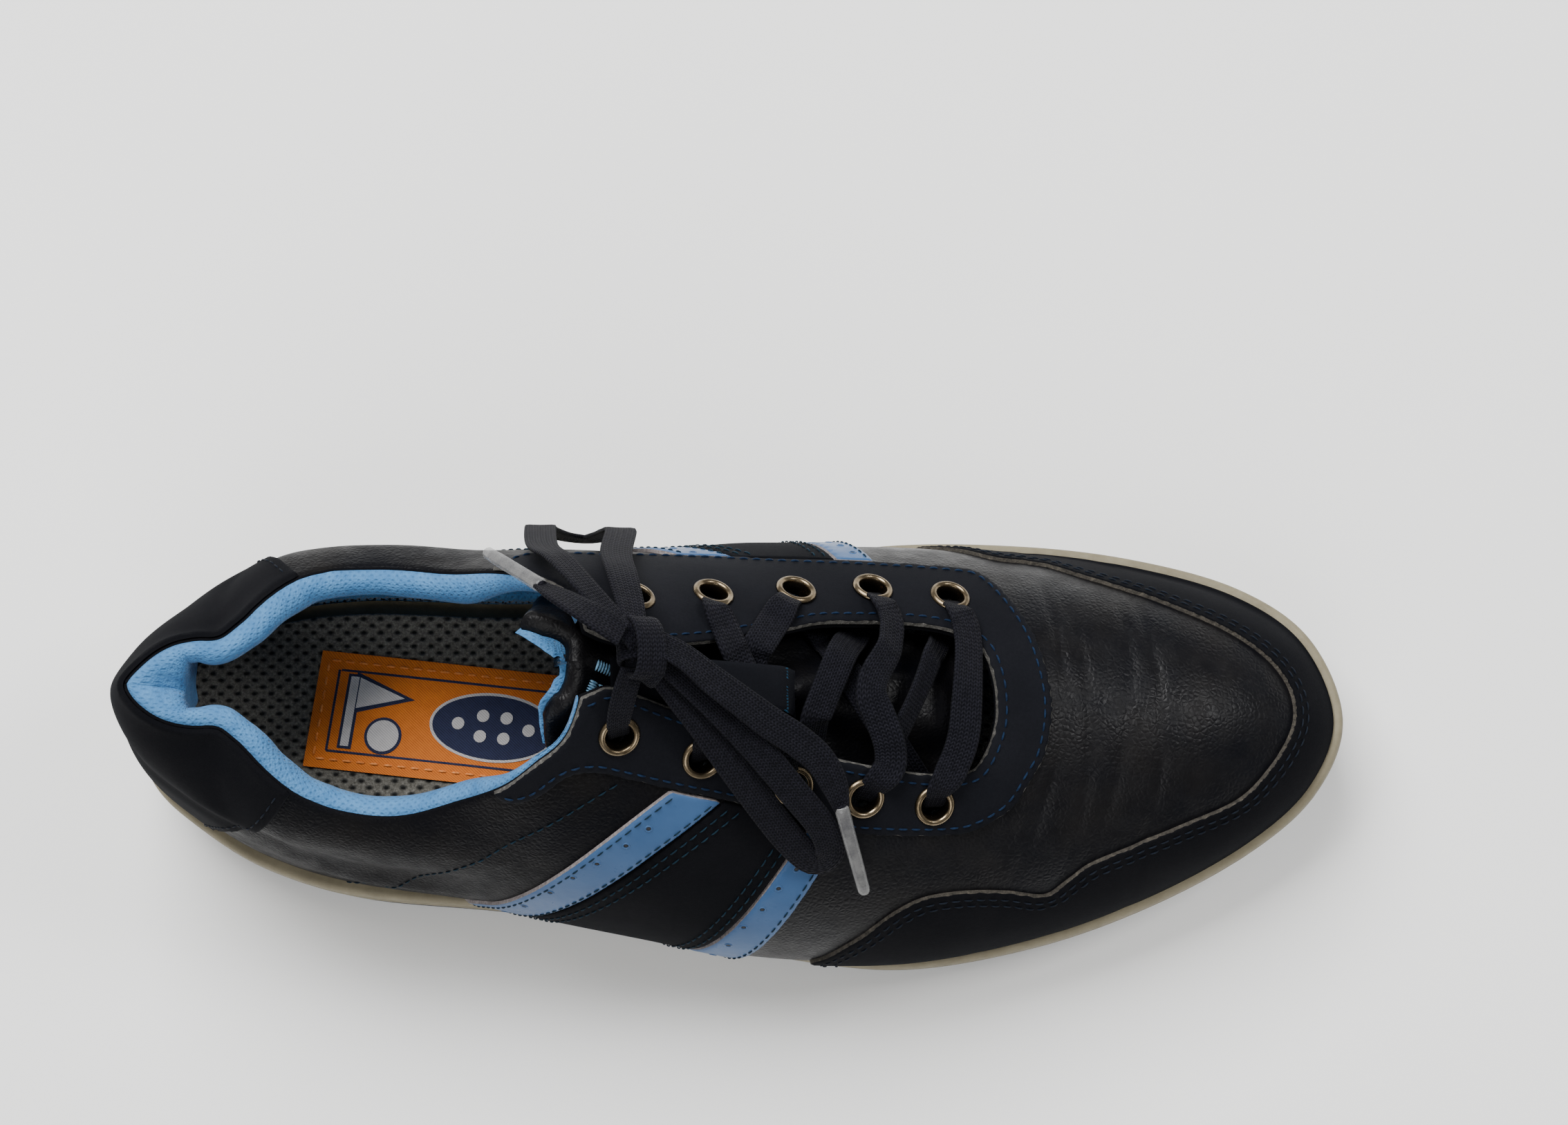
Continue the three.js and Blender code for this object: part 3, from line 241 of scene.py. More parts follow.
def last_point(a, s):
    """The outside of the base leather: a goes round the sole, s up from the sole to the ridge."""
    foot, out = outline(a, FEATHER_INSET)
    opposite, _ = outline(-np.asarray(a), FEATHER_INSET)
    top = ridge_x((foot[..., 0] + opposite[..., 0]) / 2)
    inner = 0.5 + 0.5 * np.tanh(foot[..., 1] / 12)
    lean = profile(LEAN_OUTER, top) * (1 - inner) + profile(LEAN_INNER, top) * inner
    swell = profile(BULGE_OUTER, foot[..., 0]) * (1 - inner) + profile(BULGE_INNER, foot[..., 0]) * inner
    bulge = swell * np.sin(np.pi * np.sqrt(s))
    angle = np.asarray(s) * np.pi / 2
    inwards = 1 - np.clip(np.cos(angle), 0, 1) ** lean
    x = foot[..., 0] + (top - foot[..., 0]) * inwards + out[..., 0] * bulge
    y = foot[..., 1] + (profile(RIDGE_SIDE, top) - foot[..., 1]) * inwards + out[..., 1] * bulge
    low = sole_top(foot[..., 0])
    z = low + (profile(RIDGE_HEIGHT, x) - low) * np.sin(angle)
    return np.stack([x, y + (profile(RIDGE_SIDE, x) - y) * collar_pinch(x, z), z], -1)


A, S = np.meshgrid(np.arange(AROUND) / AROUND, np.linspace(0, 1, LEVELS))
POINT = last_point(A, S)
DA = (np.roll(POINT, -1, 1) - np.roll(POINT, 1, 1)) / 2
DS = np.gradient(POINT, axis=0)
NORMAL = np.cross(DA, DS)
NORMAL[-1] = NORMAL[-2]
NORMAL = unit(NORMAL)
MIRROR = (-np.arange(AROUND)) % AROUND
NORMAL[-1] = unit(NORMAL[-1] + NORMAL[-1][MIRROR])
X, Y, Z = POINT[..., 0], POINT[..., 1], POINT[..., 2]
LATERAL = A < 0.5
SIDES = {"lateral": LATERAL, "medial": ~LATERAL}


def at(grid, rows, cols):
    """Samples a grid between its points. Columns wrap round."""
    j = np.clip(np.floor(rows).astype(int), 0, LEVELS - 2)
    i = np.floor(cols).astype(int)
    v, u = rows - j, cols - i
    if grid.ndim == 3:
        v, u = v[..., None], u[..., None]
    i0, i1 = i % AROUND, (i + 1) % AROUND
    return ((grid[j, i0] * (1 - u) + grid[j, i1] * u) * (1 - v)
            + (grid[j + 1, i0] * (1 - u) + grid[j + 1, i1] * u) * v)


# ---------------------------------------------------------------- fields: millimetres inside a seam


def field(raw):
    """Scales a smooth measure to millimetres along the surface, and gives its inward direction."""
    fa = (np.roll(raw, -1, 1) - np.roll(raw, 1, 1)) / 2
    fs = np.gradient(raw, axis=0)
    e, g, m = (DA * DA).sum(-1), (DS * DS).sum(-1), (DA * DS).sum(-1)
    det = np.maximum(e * g - m * m, 1e-6)
    gradient = ((g * fa - m * fs) / det)[..., None] * DA + ((e * fs - m * fa) / det)[..., None] * DS
    size = np.maximum(np.linalg.norm(gradient, axis=-1), 0.05)
    return raw / size, gradient / size[..., None]


def plan_distance(points, rounded=True):
    """Distance inside an outline drawn in plan."""
    ring = np.array(points, float)
    if rounded:
        ring = closed_curve(ring, np.arange(len(ring) * 5) / (len(ring) * 5))
    nearest = np.full(X.shape, np.inf)
    inside = np.zeros(X.shape, bool)
    for p, q in zip(ring, np.roll(ring, -1, 0)):
        d = q - p
        t = np.clip(((X - p[0]) * d[0] + (Y - p[1]) * d[1]) / max(d @ d, 1e-9), 0, 1)
        nearest = np.minimum(nearest, np.hypot(p[0] + t * d[0] - X, p[1] + t * d[1] - Y))
        if p[1] != q[1]:
            inside ^= ((p[1] > Y) != (q[1] > Y)) & (X < p[0] + d[0] * (Y - p[1]) / d[1])
    return np.where(inside, nearest, -nearest)


def flipped(f):
    return -f[0], -f[1]


def shifted(f, by):
    return f[0] + by, f[1]


def meeting(*fields):
    """The region inside all of the fields."""
    value, toward = fields[0]
    for other, direction in fields[1:]:
        nearer = other < value
        value = np.where(nearer, other, value)
        toward = np.where(nearer[..., None], direction, toward)
    return value, toward


def only(f, mask):
    """The field inside a mask, and far outside elsewhere."""
    return np.where(mask, f[0], -99.0), f[1]


def seam_field(name):
    """Distance in front of a seam, each side by its own line."""
    raw = np.empty(X.shape)
    for side, mask in SIDES.items():
        foot, travel = SEAMS[side][name]
        raw[mask] = (X - foot - travel * S)[mask]
    return field(raw)


def heel_overlay_raw():
    edge_x, edge_z = np.array(HEEL_OVERLAY_EDGE, float)[::-1].T
    return np.interp(Z, edge_z, edge_x) - X


def eyelet_distance():
    nearest = np.full(X.shape, np.inf)
    for place in EYELET_PLACES.values():
        nearest = np.minimum(nearest, np.linalg.norm(POINT - place[0], axis=-1))
    return nearest


# Heights of the surface over a plan grid, for what lies on top of the instep.
PLAN_X = np.arange(80.0, 262.0, 1.0)
PLAN_Y = np.arange(-60.0, 61.0, 1.0)


def side_columns(side):
    """The grid's columns on one side, from the heel to the toe."""
    half = np.arange(AROUND // 2 + 1)
    return half if side == "lateral" else (-half) % AROUND


def plan_heights():
    heights = np.zeros((len(PLAN_X), len(PLAN_Y)))
    for k, x in enumerate(PLAN_X):
        across = []
        for side in SIDES:
            columns = side_columns(side)
            across += [[np.interp(x, X[j, columns], grid[j, columns]) for grid in (Y, Z)]
                       for j in range(LEVELS // 5, LEVELS)][::1 if side == "lateral" else -1]
        y, z = np.array(across).T
        order = np.argsort(y, kind="stable")
        heights[k] = np.interp(PLAN_Y, y[order], z[order])
    return heights


HEIGHTS = plan_heights()


def height_at(x, y):
    """The height of the base leather over a point in plan."""
    u = np.clip(np.asarray(x, float) - PLAN_X[0], 0, len(PLAN_X) - 1.001)
    v = np.clip(np.asarray(y, float) - PLAN_Y[0], 0, len(PLAN_Y) - 1.001)
    i, j = u.astype(int), v.astype(int)
    u, v = u - i, v - j
    return ((HEIGHTS[i, j] * (1 - v) + HEIGHTS[i, j + 1] * v) * (1 - u)
            + (HEIGHTS[i + 1, j] * (1 - v) + HEIGHTS[i + 1, j + 1] * v) * u)


def over(x, y, d):
    """A point over x, y in plan, d above the base leather, and the way the surface faces there."""
    x, y, d = (np.asarray(value, float) for value in (x, y, d))
    e = 2.5
    slope_x = (height_at(x - e, y) - height_at(x + e, y)) / (2 * e)
    slope_y = (height_at(x, y - e) - height_at(x, y + e)) / (2 * e)
    normal = unit(np.stack([slope_x, slope_y, np.ones_like(slope_x)], -1))
    z = height_at(x, y) + d / np.maximum(normal[..., 2], 0.5)
    return np.stack([x + 0 * z, y + 0 * z, z], -1), normal


EYELET_PLACES = {
    f"eyelet_{side}_{i + 1}": over(x, y, 0)
    for side, row in EYELETS.items() for i, (x, y) in enumerate(row)
}

THROAT_FIELD = field(plan_distance(THROAT))
TOPLINE_FIELD = field(np.where(X < COLLAR_REACH, profile(TOPLINE, X) + TOPLINE_TILT * Y - Z, 30.0 + 0 * X))
EYESTAY_FIELD = field(plan_distance(EYESTAY))
MUDGUARD_FIELD = flipped(field(plan_distance(
    [[-60, -160], [160, -160], *through(MUDGUARD_EDGE, 150), [184, 160], [-60, 160]], rounded=False)))
SEAM_FIELDS = {name: seam_field(name) for name in SEAMS["lateral"]}
HEEL_FIELD = field(heel_overlay_raw())
EYELET_FIELD = (eyelet_distance() - EYELET_BORE, np.zeros(POINT.shape))
OPEN_FIELD = meeting(TOPLINE_FIELD, flipped(THROAT_FIELD))
HEEL_SEAM = {
    "lateral": only((np.where(X < 60, 5 - Y, 99.0), np.zeros(POINT.shape)), LATERAL | (X < 40)),
    "medial": only((np.where(X < 60, Y - 5, 99.0), np.zeros(POINT.shape)), ~LATERAL | (X < 40)),
}

# ---------------------------------------------------------------- soft relief of the upper


def bump(value, centre, width):
    return np.exp(-(((value - centre) / width) ** 2))


def relief():
    """How far the worn upper stands out from the plain surface."""
    below = np.maximum(TOPLINE_FIELD[0], 0)
    rear = smooth((104 - X) / 30)
    roll = 1.5 * np.sin(np.pi * np.clip(below / 22, 0, 1)) - 1.0 * bump(below, 26, 4.5)
    folds = (0.55 * bump(below, 35, 3.5) - 0.5 * bump(below, 41, 3.0)
             + 0.3 * np.sin(below / 2.1 + X / 17) * bump(below, 38, 10))
    heel = smooth((X - 45) / 25)
    collar = (roll + folds * heel) * rear * (TOPLINE_FIELD[0] < 60)
    crease = np.zeros(X.shape)
    for x, bend, depth in CREASES:
        crease -= depth * bump(X + bend * Y + 0.006 * (Y - 2) ** 2, x, 1.5)
    crease *= smooth((-EYESTAY_FIELD[0] - 1) / 5) * bump(Y, 2, 34)
    waves = (np.sin(X / 8.7 + Y / 13) * np.sin(Y / 7.9 - Z / 9) + np.sin(X / 17 - Z / 11 + 1.3)) * 0.16
    return collar + crease + waves * smooth(S * 6)


RELIEF = relief()
SURFACE = POINT + NORMAL * RELIEF[..., None]

# ---------------------------------------------------------------- meshes


def metres(points):
    return (np.asarray(points, float) - ORIGIN) / 1000


def outward(points, faces):
    """The faces, all turned over if they enclose a negative volume."""
    middle = points.mean(0)
    volume = 0.0
    for face in faces:
        corner = points[face] - middle
        for k in range(1, face.shape[1] - 1):
            volume += np.einsum("ij,ij->", corner[:, 0], np.cross(corner[:, k], corner[:, k + 1]))
    return faces if volume >= 0 else [face[:, ::-1] for face in faces]


def make_object(name, points, faces, materials, face_material=None, uv=None, flat=None, body="shoe"):
    """A mesh object from millimetre points and lists of equal-sided faces."""
    mesh = bpy.data.meshes.new(name)
    points = metres(points)
    faces = outward(points, [np.asarray(f, np.int32) for f in faces if len(f)])
    sizes = np.concatenate([np.full(len(f), f.shape[1]) for f in faces])
    loops = np.concatenate([f.ravel() for f in faces])
    mesh.vertices.add(len(points))
    mesh.vertices.foreach_set("co", points.astype(np.float32).ravel())
    mesh.loops.add(len(loops))
    mesh.loops.foreach_set("vertex_index", loops)
    mesh.polygons.add(len(sizes))
    mesh.polygons.foreach_set("loop_start", np.concatenate([[0], np.cumsum(sizes)[:-1]]).astype(np.int32))
    mesh.update(calc_edges=True)
    for material in materials:
        mesh.materials.append(material)
    if face_material is not None:
        mesh.polygons.foreach_set("material_index", np.asarray(face_material, np.int32))
    shade = np.ones(len(sizes), bool) if flat is None else ~np.asarray(flat, bool)
    mesh.polygons.foreach_set("use_smooth", shade)
    if uv is not None:
        layer = mesh.uv_layers.new(name="mm")
        layer.data.foreach_set("uv", np.asarray(uv, np.float32)[loops].ravel())
    mesh.validate()
    obj = bpy.data.objects.new(name, mesh)
    bpy.context.scene.collection.objects.link(obj)
    if body:
        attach(obj, body)
    return obj


def rings_round(centre, normal, beside, section, sides, flatten=1.0):
    """Rings round an axis from its section of (radius, height) pairs. beside is any other direction."""
    u = unit(np.cross(normal, beside))
    v = np.cross(normal, u)
    angles = np.arange(sides) * 2 * np.pi / sides
    circle = u[None] * np.cos(angles)[:, None] + v[None] * np.sin(angles)[:, None] * flatten
    return np.array([centre + circle * r + normal * h for r, h in section])


def snapped(value):
    """Moves grid points that lie near the zero line onto it, along the grid's own lines."""
    best = np.full(value.shape, 0.5 + 1e-9)
    move = np.zeros(value.shape + (2,))
    for dj, di in ((0, 1), (0, -1), (1, 0), (-1, 0)):
        other = np.roll(value, (-dj, -di), (0, 1))
        crossing = value * other < 0
        if dj:
            crossing[-1 if dj == 1 else 0] = False
        t = np.where(crossing, value / np.where(crossing, value - other, 1), 1)
        nearer = t < best
        best = np.where(nearer, t, best)
        move[nearer] = np.stack([t * dj, t * di], -1)[nearer]
    hit = best <= 0.5
    return np.where(hit, 0.0, value), move, hit


def panel(name, region, outside, inside, materials, chamfer=0.35, rough_edge=0.0):
    """A sheet cut from the surface: outside and inside are its two faces' heights above it.

    Materials are for its outside, its cut edges and its inside.
    """
    value, move, hit = snapped(region[0])
    rows = np.arange(LEVELS)[:, None] + move[..., 0]
    cols = np.arange(AROUND)[None, :] + move[..., 1]
    ids = np.arange(LEVELS * AROUND).reshape(LEVELS, AROUND)
    ids[-1] = ids[-1][np.minimum(np.arange(AROUND), MIRROR)]
    right = (slice(None), (np.arange(AROUND) + 1) % AROUND)
    corner_ids = np.stack([ids[:-1], ids[:-1][right], ids[1:][right], ids[1:]], -1)
    corner_values = np.stack([value[:-1], value[:-1][right], value[1:][right], value[1:]], -1)
    inner = corner_values >= 0
    some = corner_values.max(-1) > 0
    quads = corner_ids[inner.all(-1) & some]
    triangles = []
    for k in range(4):
        others = [(k + 1) % 4, (k + 2) % 4, (k + 3) % 4]
        cut = ~inner[..., k] & inner[..., others].all(-1) & some
        triangles.append(corner_ids[cut][:, others])
    triangles = np.concatenate(triangles)
    directed = np.concatenate([
        np.stack([face, np.roll(face, -1, 1)], -1).reshape(-1, 2) for face in (quads, triangles)])
    directed = directed[directed[:, 0] != directed[:, 1]]
    total = LEVELS * AROUND
    keys = directed[:, 0] * total + directed[:, 1]
    border = directed[~np.isin(keys, directed[:, 1] * total + directed[:, 0])]

    used = np.unique(np.concatenate([quads.ravel(), triangles.ravel()]))
    place = np.full(total, -1)
    place[used] = np.arange(len(used))
    r, c = rows.ravel()[used], cols.ravel()[used]
    base, normal = at(SURFACE, r, c), unit(at(NORMAL, r, c))
    top, bottom = base + normal * outside, base + normal * inside
    on_edge = np.zeros(total, bool)
    on_edge[border.ravel()] = True
    cut_edge = (on_edge & hit.ravel())[used]
    toward = at(region[1], r, c)
    wear = 1 + rough_edge * np.sin(c * 1.7) * np.sin(c * 0.61 + r * 1.1)
    top[cut_edge] += (toward * chamfer * wear[:, None] - normal * (outside - inside) * 0.25)[cut_edge]
    n = len(used)
    points = np.concatenate([top, bottom])
    quads, triangles, border = place[quads], place[triangles], place[border]
    walls = np.stack([border[:, 1], border[:, 0], border[:, 0] + n, border[:, 1] + n], -1)
    faces = [quads, quads[:, ::-1] + n, walls, triangles, triangles[:, ::-1] + n]
    wall_slot = int(len(materials) > 1)
    inside_slot = 2 * int(len(materials) > 2)
    slots = np.repeat((0, inside_slot, wall_slot, 0, inside_slot), [len(f) for f in faces])
    flat = np.repeat((False, False, True, False, False), [len(f) for f in faces])
    uv = np.stack([c * GIRTH / AROUND, r * WALL / LEVELS], -1)
    return make_object(name, points, faces, materials, slots, np.concatenate([uv, uv]), flat)


def contour(value, level, mask, least=0.0):
    """Lines where value equals level, kept where mask is above least, as rows and columns."""
    v = value - level
    right = (np.arange(AROUND) + 1) % AROUND
    a, b, c, d = v[:-1], v[:-1][:, right], v[1:][:, right], v[1:]
    crossing = np.stack([a * b < 0, b * c < 0, d * c < 0, a * d < 0], -1)
    cells = np.argwhere(crossing.sum(-1) == 2)
    links = {}
    spots = {}
    for j, i in cells:
        ends = []
        for k in np.flatnonzero(crossing[j, i]):
            jj = j + (k == 2)
            ii = (i + (k == 1)) % AROUND
            rising = k in (1, 3)
            other = v[jj + 1, ii] if rising else v[jj, (ii + 1) % AROUND]
            t = v[jj, ii] / (v[jj, ii] - other)
            key = (jj, ii, rising)
            spots[key] = (jj + t, ii) if rising else (jj, ii + t)
            ends.append(key)
        links.setdefault(ends[0], []).append(ends[1])
        links.setdefault(ends[1], []).append(ends[0])
    lines = []
    left = set(links)
    while left:
        start = next((k for k in left if len(links[k]) == 1), next(iter(left)))
        chain = [start]
        left.discard(start)
        while True:
            step = next((k for k in links[chain[-1]] if k in left), None)
            if step is None:
                break
            chain.append(step)
            left.discard(step)
        line = np.array([spots[k] for k in chain])
        keep = at(mask, line[:, 0], line[:, 1]) > least
        edges = np.flatnonzero(np.diff(np.concatenate([[0], keep.astype(int), [0]])))
        lines += [line[p:q] for p, q in zip(edges[::2], edges[1::2]) if q - p > 4]
    return lines


def column_at(x, row, side):
    """The column where a row passes x on one side of the shoe."""
    columns = side_columns(side)
    j = min(int(row), LEVELS - 2)
    v = row - j
    step = np.interp(x, X[j, columns] * (1 - v) + X[j + 1, columns] * v, np.arange(len(columns)))
    return step if side == "lateral" else -step


def on_surface(line, height):
    """A line of rows and columns as points and normals, height above the surface."""
    r, c = line[:, 0], line[:, 1]
    normal = unit(at(NORMAL, r, c))
    return at(SURFACE, r, c) + normal * height, normal


def drawn_on_surface(points, side, height):
    """A line given as [x, s] pairs on one side of the shoe."""
    t = np.linspace(0, 1, 160)
    x, s = (np.interp(t, np.linspace(0, 1, len(points)), values) for values in np.array(points, float).T)
    rows = s * (LEVELS - 1)
    cols = [column_at(*place, side) for place in zip(x, rows)]
    return on_surface(np.stack([rows, cols], -1), height)


def stitch_template():
    """One stitch of unit length and radius along x, humped in the middle and sunk at its ends."""
    stations = np.linspace(-0.5, 0.5, 6)
    size = np.array([0.35, 0.9, 1.0, 1.0, 0.9, 0.35])
    lift = np.array([-0.9, 0.0, 0.25, 0.25, 0.0, -0.9])
    angles = np.arange(6) * np.pi / 3
    rings = np.array([[(t, math.cos(w) * r, math.sin(w) * r + h) for w in angles]
                      for t, r, h in zip(stations, size, lift)])
    points, quads, _ = lofted(rings, closed_ends=False)
    ends = np.array([(0, 1, 2, 3, 4, 5), (35, 34, 33, 32, 31, 30)])
    return points, quads[:, ::-1], ends


def stitched(name, lines, material, length=2.3, gap=0.75, radius=0.27, body="shoe"):
    """Rows of stitches along lines of points and normals."""
    shape, quads, ends = stitch_template()
    parts = []
    for path, normals in lines:
        run = run_along(path)
        if run[-1] < length:
            continue
        number = max(1, int(run[-1] / (length + gap)))
        middle = (np.arange(number) + 0.5) * run[-1] / number

        def sample(values, where):
            return np.stack([np.interp(where, run, column) for column in values.T], -1)

        along = sample(path, middle + length / 2) - sample(path, middle - length / 2)
        along /= np.maximum(np.linalg.norm(along, axis=1, keepdims=True), 1e-6)
        across = unit(np.cross(sample(normals, middle), along))
        up = np.cross(along, across)
        parts += [(centre + np.outer(shape[:, 0] * length, a) + np.outer(shape[:, 1] * radius, b)
                   + np.outer(shape[:, 2] * radius, c), quads, ends)
                  for centre, a, b, c in zip(sample(path, middle), along, across, up)]
    points, *faces = merged(parts)
    return make_object(name, points, faces, [material], body=body)


def merged(parts):
    """Several shapes as one: each part is its points and its lists of faces."""
    starts = np.cumsum([0] + [len(part[0]) for part in parts])
    faces = [[group + start for group in part[1:]] for part, start in zip(parts, starts)]
    return [np.concatenate([part[0] for part in parts]), *map(np.concatenate, zip(*faces))]


def lofted(rings, closed_ends=True):
    """Quads and end fans for rings of equal length stacked along the first axis."""
    m, n = rings.shape[:2]
    base = np.arange(m * n).reshape(m, n)
    nxt = np.roll(base, -1, 1)
    quads = np.stack([base[:-1], nxt[:-1], nxt[1:], base[1:]], -1).reshape(-1, 4)
    points = rings.reshape(-1, 3)
    triangles = np.empty((0, 3), int)
    if closed_ends:
        centres = np.stack([rings[0].mean(0), rings[-1].mean(0)])
        first, last = m * n, m * n + 1
        points = np.concatenate([points, centres])
        triangles = np.concatenate([
            np.stack([nxt[0], base[0], np.full(n, first)], -1),
            np.stack([base[-1], nxt[-1], np.full(n, last)], -1),
        ])
    return points, quads, triangles


def filed(piece, slot, *nodes):
    """Hides the CAD nodes that a piece replaces. The slot is not used."""
    if nodes:
        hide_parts(*nodes)
    return piece


# ---------------------------------------------------------------- materials


class Shader:
    """A small helper to write node materials as a chain of calls."""

    def __init__(self, name, **constants):
        self.material = bpy.data.materials.new(name)
        self.material.use_nodes = True
        self.tree = self.material.node_tree
        self.main = self.tree.nodes["Principled BSDF"]
        for key, value in constants.items():
            self.main.inputs[key.replace("_", " ")].default_value = value

    def node(self, kind, settings=None, **inputs):
        made = self.tree.nodes.new(kind)
        for key, value in (settings or {}).items():
            setattr(made, key, value)
        for key, value in inputs.items():
            socket = made.inputs[int(key[1:])] if key[1:].isdigit() else made.inputs[key.replace("_", " ")]
            if hasattr(value, "is_output"):
                self.tree.links.new(value, socket)
            else:
                socket.default_value = value
        return made

    def coordinate(self):
        return self.node("ShaderNodeTexCoord").outputs["Object"]

    def uv(self):
        return self.node("ShaderNodeUVMap", {"uv_map": "mm"}).outputs["UV"]

    def noise(self, scale, detail=3.0, roughness=0.55):
        made = self.node("ShaderNodeTexNoise", Scale=scale, Detail=detail, Roughness=roughness,
                         Vector=self.coordinate())
        return made.outputs["Fac"]

    def cells(self, scale, feature="DISTANCE_TO_EDGE"):
        made = self.node("ShaderNodeTexVoronoi", {"feature": feature}, Scale=scale, Vector=self.coordinate())
        return made.outputs["Distance"]

    def math(self, operation, a, b=0.0):
        return self.node("ShaderNodeMath", {"operation": operation}, _0=a, _1=b).outputs[0]

    def ramp(self, value, *stops):
        """Maps value through stops of (position, colour)."""
        made = self.node("ShaderNodeValToRGB", Fac=value)
        elements = made.color_ramp.elements
        while len(elements) < len(stops):
            elements.new(0.5)
        for element, (position, colour) in zip(elements, stops):
            element.position = position
            element.color = (*colour, 1)
        return made.outputs["Color"]

    def span(self, value, low, high, to_low=0.0, to_high=1.0):
        made = self.node("ShaderNodeMapRange", Value=value)
        for key, number in (("From Min", low), ("From Max", high), ("To Min", to_low), ("To Max", to_high)):
            made.inputs[key].default_value = number
        return made.outputs["Result"]

    def blend(self, factor, a, b):
        """Mixes the colour b, given as three numbers, over a."""
        made = self.node("ShaderNodeMix", {"data_type": "RGBA"}, _0=factor, _6=a, _7=(*b, 1))
        return made.outputs[2]

    def colour(self, value):
        self.tree.links.new(value, self.main.inputs["Base Color"])

    def rough(self, value):
        self.tree.links.new(value, self.main.inputs["Roughness"])

    def relief(self, *layers):
        """Bump layers of (height, strength, distance in metres), one over another."""
        normal = None
        for height, strength, distance in layers:
            made = self.node("ShaderNodeBump", Height=height, Strength=strength, Distance=distance)
            if normal is not None:
                self.tree.links.new(normal, made.inputs["Normal"])
            normal = made.outputs["Normal"]
        self.tree.links.new(normal, self.main.inputs["Normal"])

    def hole_grid(self, pitch_u, pitch_v, radius, vector, soft=0.12, flatten=1.0):
        """Staggered rows of holes: 1 in a hole, 0 between. Radius is a share of the pitch."""
        split = self.node("ShaderNodeSeparateXYZ", Vector=vector)
        v = self.math("DIVIDE", split.outputs[1], pitch_v)
        row = self.math("FLOOR", v)
        stagger = self.math("MULTIPLY", self.math("MODULO", row, 2.0), 0.5)
        u = self.math("ADD", self.math("DIVIDE", split.outputs[0], pitch_u), stagger)
        du = self.math("SUBTRACT", self.math("FRACT", u), 0.5)
        dv = self.math("SUBTRACT", self.math("FRACT", v), 0.5)
        stretch = self.math("MULTIPLY", dv, flatten * pitch_v / pitch_u)
        distance = self.math("SQRT", self.math("ADD", self.math("MULTIPLY", du, du),
                                               self.math("MULTIPLY", stretch, stretch)))
        return self.span(distance, radius + soft, radius - soft)


def leather(name, dark, light, roughness, grain, strength, specular):
    m = Shader(name, Specular_IOR_Level=specular)
    tone = m.noise(60, 5)
    m.colour(m.ramp(tone, (0.35, dark), (0.75, light)))
    m.rough(m.span(m.noise(190, 4), 0.3, 0.7, roughness - 0.08, roughness + 0.1))
    pebble = m.span(m.cells(grain), 0.0, 0.35)
    m.relief((m.noise(90, 4), 0.25, 0.0009), (pebble, strength, 0.00022), (m.noise(2600, 3), 0.12, 0.0001))
    return m.material


def suede(name, dark, light, roughness, nap):
    m = Shader(name, Specular_IOR_Level=0.06, Sheen_Weight=0.012, Sheen_Roughness=0.5)
    m.main.inputs["Sheen Tint"].default_value = (0.45, 0.5, 0.62, 1)
    fibre = m.noise(1500, 6, roughness=0.75)
    tone = m.math("MULTIPLY", m.noise(45, 4), fibre)
    m.colour(m.ramp(tone, (0.14, dark), (0.42, light)))
    m.rough(m.span(fibre, 0.3, 0.7, roughness - 0.06, roughness + 0.06))
    m.relief((m.noise(110, 3), 0.2, 0.0006), (fibre, nap, 0.00016))
    return m.material


def plain(name, tone, stops, rough=None, bumps=(), **constants):
    """A surface from noises of (scale, detail, roughness).

    tone is the noise behind the colour stops. rough is (scale, detail, low, high). Each bump is
    (scale or noise, strength, distance), and a bare scale means cells.
    """
    m = Shader(name, **constants)
    m.colour(m.ramp(m.noise(*tone), *stops))
    if rough:
        m.rough(m.span(m.noise(*rough[:2]), 0.3, 0.7, *rough[2:]))
    if bumps:
        m.relief(*((m.noise(*source) if isinstance(source, tuple) else m.cells(source), strength, distance)
                   for source, strength, distance in bumps))
    return m.material


def thread(name, dark, light):
    return plain(name, (1400, 3), ((0.3, dark), (0.7, light)), bumps=(((5200, 2), 0.4, 0.00012),),
                 Roughness=0.68, Specular_IOR_Level=0.08, Sheen_Weight=0.01)


def worn(name, scale, *colours):
    """A cut edge of leather, frayed from dark to light."""
    return plain(name, (scale, 6, 0.8), tuple(zip((0.3, 0.55, 0.8), colours)),
                 bumps=(((2200, 5), 0.9, 0.0004),), Roughness=0.95, Specular_IOR_Level=0.2)


